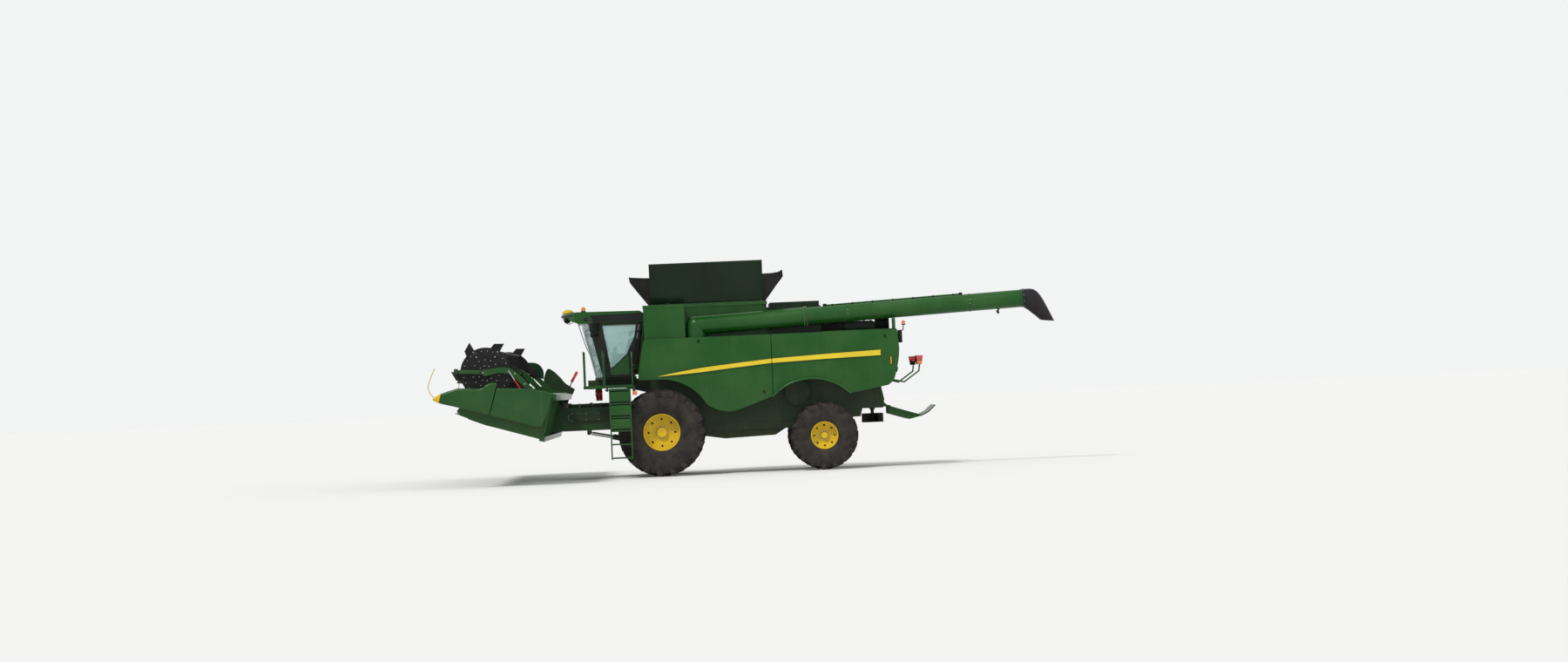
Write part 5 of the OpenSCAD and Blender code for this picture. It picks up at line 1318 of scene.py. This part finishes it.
# %% Reel ends
crank = [(-0.030, -0.155), (0.030, -0.155), (0.042, 0.0), (0.030, 0.036), (-0.030, 0.036), (-0.042, 0.0)]
cranks, pins, specks = [], [], []
for k in range(6):
    cranks.append(
        moved(plate(crank, 5.2202, 5.2262), shift(0, 0, 0.55), turn(60 * k + 15, "Y"), shift(REEL_X, 0, REEL_Z))
    )
for sign in (-1, 1):
    for ring in (0.55, 0.42):
        pins += ring_of_bolts((REEL_X, sign * 5.228, REEL_Z), ring, 6, sign, 0.25)
    for ring, count in ((0.505, 24), (0.30, 14), (0.17, 10)):
        specks += ring_of_bolts((REEL_X, sign * 5.2215, REEL_Z), ring, count, sign, 0.3)
piece("reel_cranks", both_sides(joined(cranks)), black_paint, "pickup_reel")
piece("reel_crank_pins", bolts(pins, 0.016, 0.008), body="pickup_reel")
piece("reel_disc_bolts", bolts(specks, 0.011, 0.005), body="pickup_reel")

# %% [markdown]
# Along the feeder house run steel oil lines from a coupler to the header. They are bent pipes, not hoses, so
# each follows one smooth line and is held by clamps. The drive case on the left has a bolted cover.

# %% Feeder house: oil lines, coupler and drive cover
pipes = []
for k in range(4):
    y, z = -0.668 - 0.022 * k, 1.705 + 0.026 * k
    bends = [
        (-0.62, y + 0.02, 1.60), (-0.80, y, z - 0.04), (-1.05, y, z),
        (-1.70, y, z), (-2.10, y, z), (-2.22, y, z + 0.02)
    ]
    pipes.append(tube(bends, 0.009, 8, 4))
blocks = [box_mesh((-2.34, -0.76, 1.69), (-2.20, -0.645, 1.82), 0.01)]
blocks += [box_mesh((x, -0.752, 1.688), (x + 0.035, -0.641, 1.80), 0.004) for x in (-1.95, -1.45, -0.98)]
piece("oil_lines", joined(pipes), black_plastic, "header", place=to_frame)
piece("oil_coupler_and_clamps", joined(blocks), cast_iron, "header", place=to_frame)
cover_edge = [
    (-0.85, 1.596), (-2.15, 1.566), (-2.225, 1.52), (-2.245, 1.47), (-2.225, 1.42),
    (-2.15, 1.374), (-0.85, 1.404), (-0.775, 1.45), (-0.755, 1.50), (-0.775, 1.55)
]
piece("drive_case_cover", plate(cover_edge, -0.691, -0.6845), frame_green, "header", bevel=0.002, place=to_frame)
spots = [((x * 0.975 - 0.0375, -0.692, 1.485 + (z - 1.485) * 0.86), (0, -1, 0)) for x, z in cover_edge]
for x in (-1.2, -1.5, -1.8):
    spots += [((x, -0.692, z), (0, -1, 0)) for z in (1.585 + (x + 1.2) * 0.023 - 0.02, 1.41)]
piece("drive_case_bolts", bolts(spots, 0.010, 0.008), body="header", place=to_frame)

# %% [markdown]
# On top, the engine hood's louvres and the round air screen are in the solids; the screen gets its wire mesh.
# The rear hood carries a black box and a beacon at its left rear corner and amber strips down its edges.

# %% Air screen, rear box, beacon and reflectors
SCREEN_AT, MESH_STEP, WIRE = (3.2425, 1.4530, 3.600), 0.0215, 0.0015
wires = []
for k in range(-11, 12):
    off, (x, y, z) = k * MESH_STEP, SCREEN_AT
    reach = math.sqrt(0.249**2 - off**2)
    wires.append(box_mesh((x + off - WIRE, y, z - reach), (x + off + WIRE, y + 0.003, z + reach)))
    wires.append(box_mesh((x - reach, y + 0.003, z + off - WIRE), (x + reach, y + 0.006, z + off + WIRE)))
piece("air_screen_mesh", joined(wires), black_paint)
beacon = (5.822, -1.285, 3.340)
rear_box = [
    box_mesh((5.672, -1.345, 2.925), (5.778, -1.225, 3.225), 0.012),
    box_mesh((5.62, -1.31, 3.02), (5.69, -1.26, 3.14), 0.004),
    tube([(5.76, -1.285, 3.20), (5.805, -1.285, 3.235), (5.822, -1.285, 3.35)], 0.012, 8, 4),
    spun([(0.0, 0.0), (0.050, 0.0), (0.050, 0.016), (0.042, 0.022), (0.0, 0.022)], 24, "Z", beacon),
]
piece("rear_box", joined(rear_box), black_plastic, sharp=45)
dome = [(0.0, 0.021), (0.041, 0.021), (0.041, 0.078), (0.032, 0.100), (0.015, 0.108), (0.0, 0.110)]
piece("rear_box_beacon", spun(dome, 24, "Z", beacon), lamp_amber, sharp=60)
strip = [(5.462, 2.43), (5.490, 2.43), (5.490, 2.60), (5.462, 2.60)]
for side, sign in SIDES:
    piece(f"side_reflector_{side}", skin(strip, 0.004, 0.004, sign), lamp_amber, f"side_rear_{side}", sharp=20)


# %% [markdown]
# Between the tube and the side shields the photo shows dark parts on the rear deck: a black air duct behind the
# engine hood, a low cover and a black panel ahead of the cradle. Behind the cab, rubber closes the slot to the
# tank. They are low, plain mouldings, so lofts with rounded edges and a few ribs are enough.

# %% Rear deck and the seal behind the cab
DECK = 3.2705


def deck_shape(y0, y1, soft, stations):
    return loft([rounded_ring(x, y0, y1, DECK, top, soft) for x, top in stations])


duct = [deck_shape(-0.90, 0.95, 0.03, ((3.89, 3.50), (4.35, 3.50), (4.41, 3.49)))]
duct += [box_mesh((x, -0.905, DECK), (x + 0.018, 0.955, 3.508), 0.004) for x in (3.98, 4.10, 4.22)]
piece("deck_duct", joined(duct), black_plastic, bevel=0.006)
cover = [deck_shape(-0.92, 1.10, 0.035, ((4.42, 3.480), (4.60, 3.490), (5.10, 3.485), (5.15, 3.450)))]
cover += [box_mesh((x, -0.86, 3.47), (x + 0.03, 1.04, 3.499), 0.006) for x in (4.58, 4.74, 4.90, 5.06)]
piece("deck_cover", joined(cover), dark_green, bevel=0.006)
panel = [box_mesh((5.18, -0.930, DECK), (5.50, -0.20, 3.525), 0.012)]
panel += [box_mesh((5.205 + 0.055 * k, -0.936, 3.30), (5.235 + 0.055 * k, -0.926, 3.495), 0.003) for k in range(5)]
piece("deck_panel", joined(panel), black_plastic, bevel=0.004)
seal = [(-0.415, 3.72), (-0.30, 3.72), (-0.30, 2.95), (-0.42, 2.44), (-0.635, 2.44)]
seals = [holed_plate(seal, [], y, y + 0.012) for y in (0.84, 0.87)]
piece("cab_rear_seal", both_sides(joined(seals)), belt_rubber)
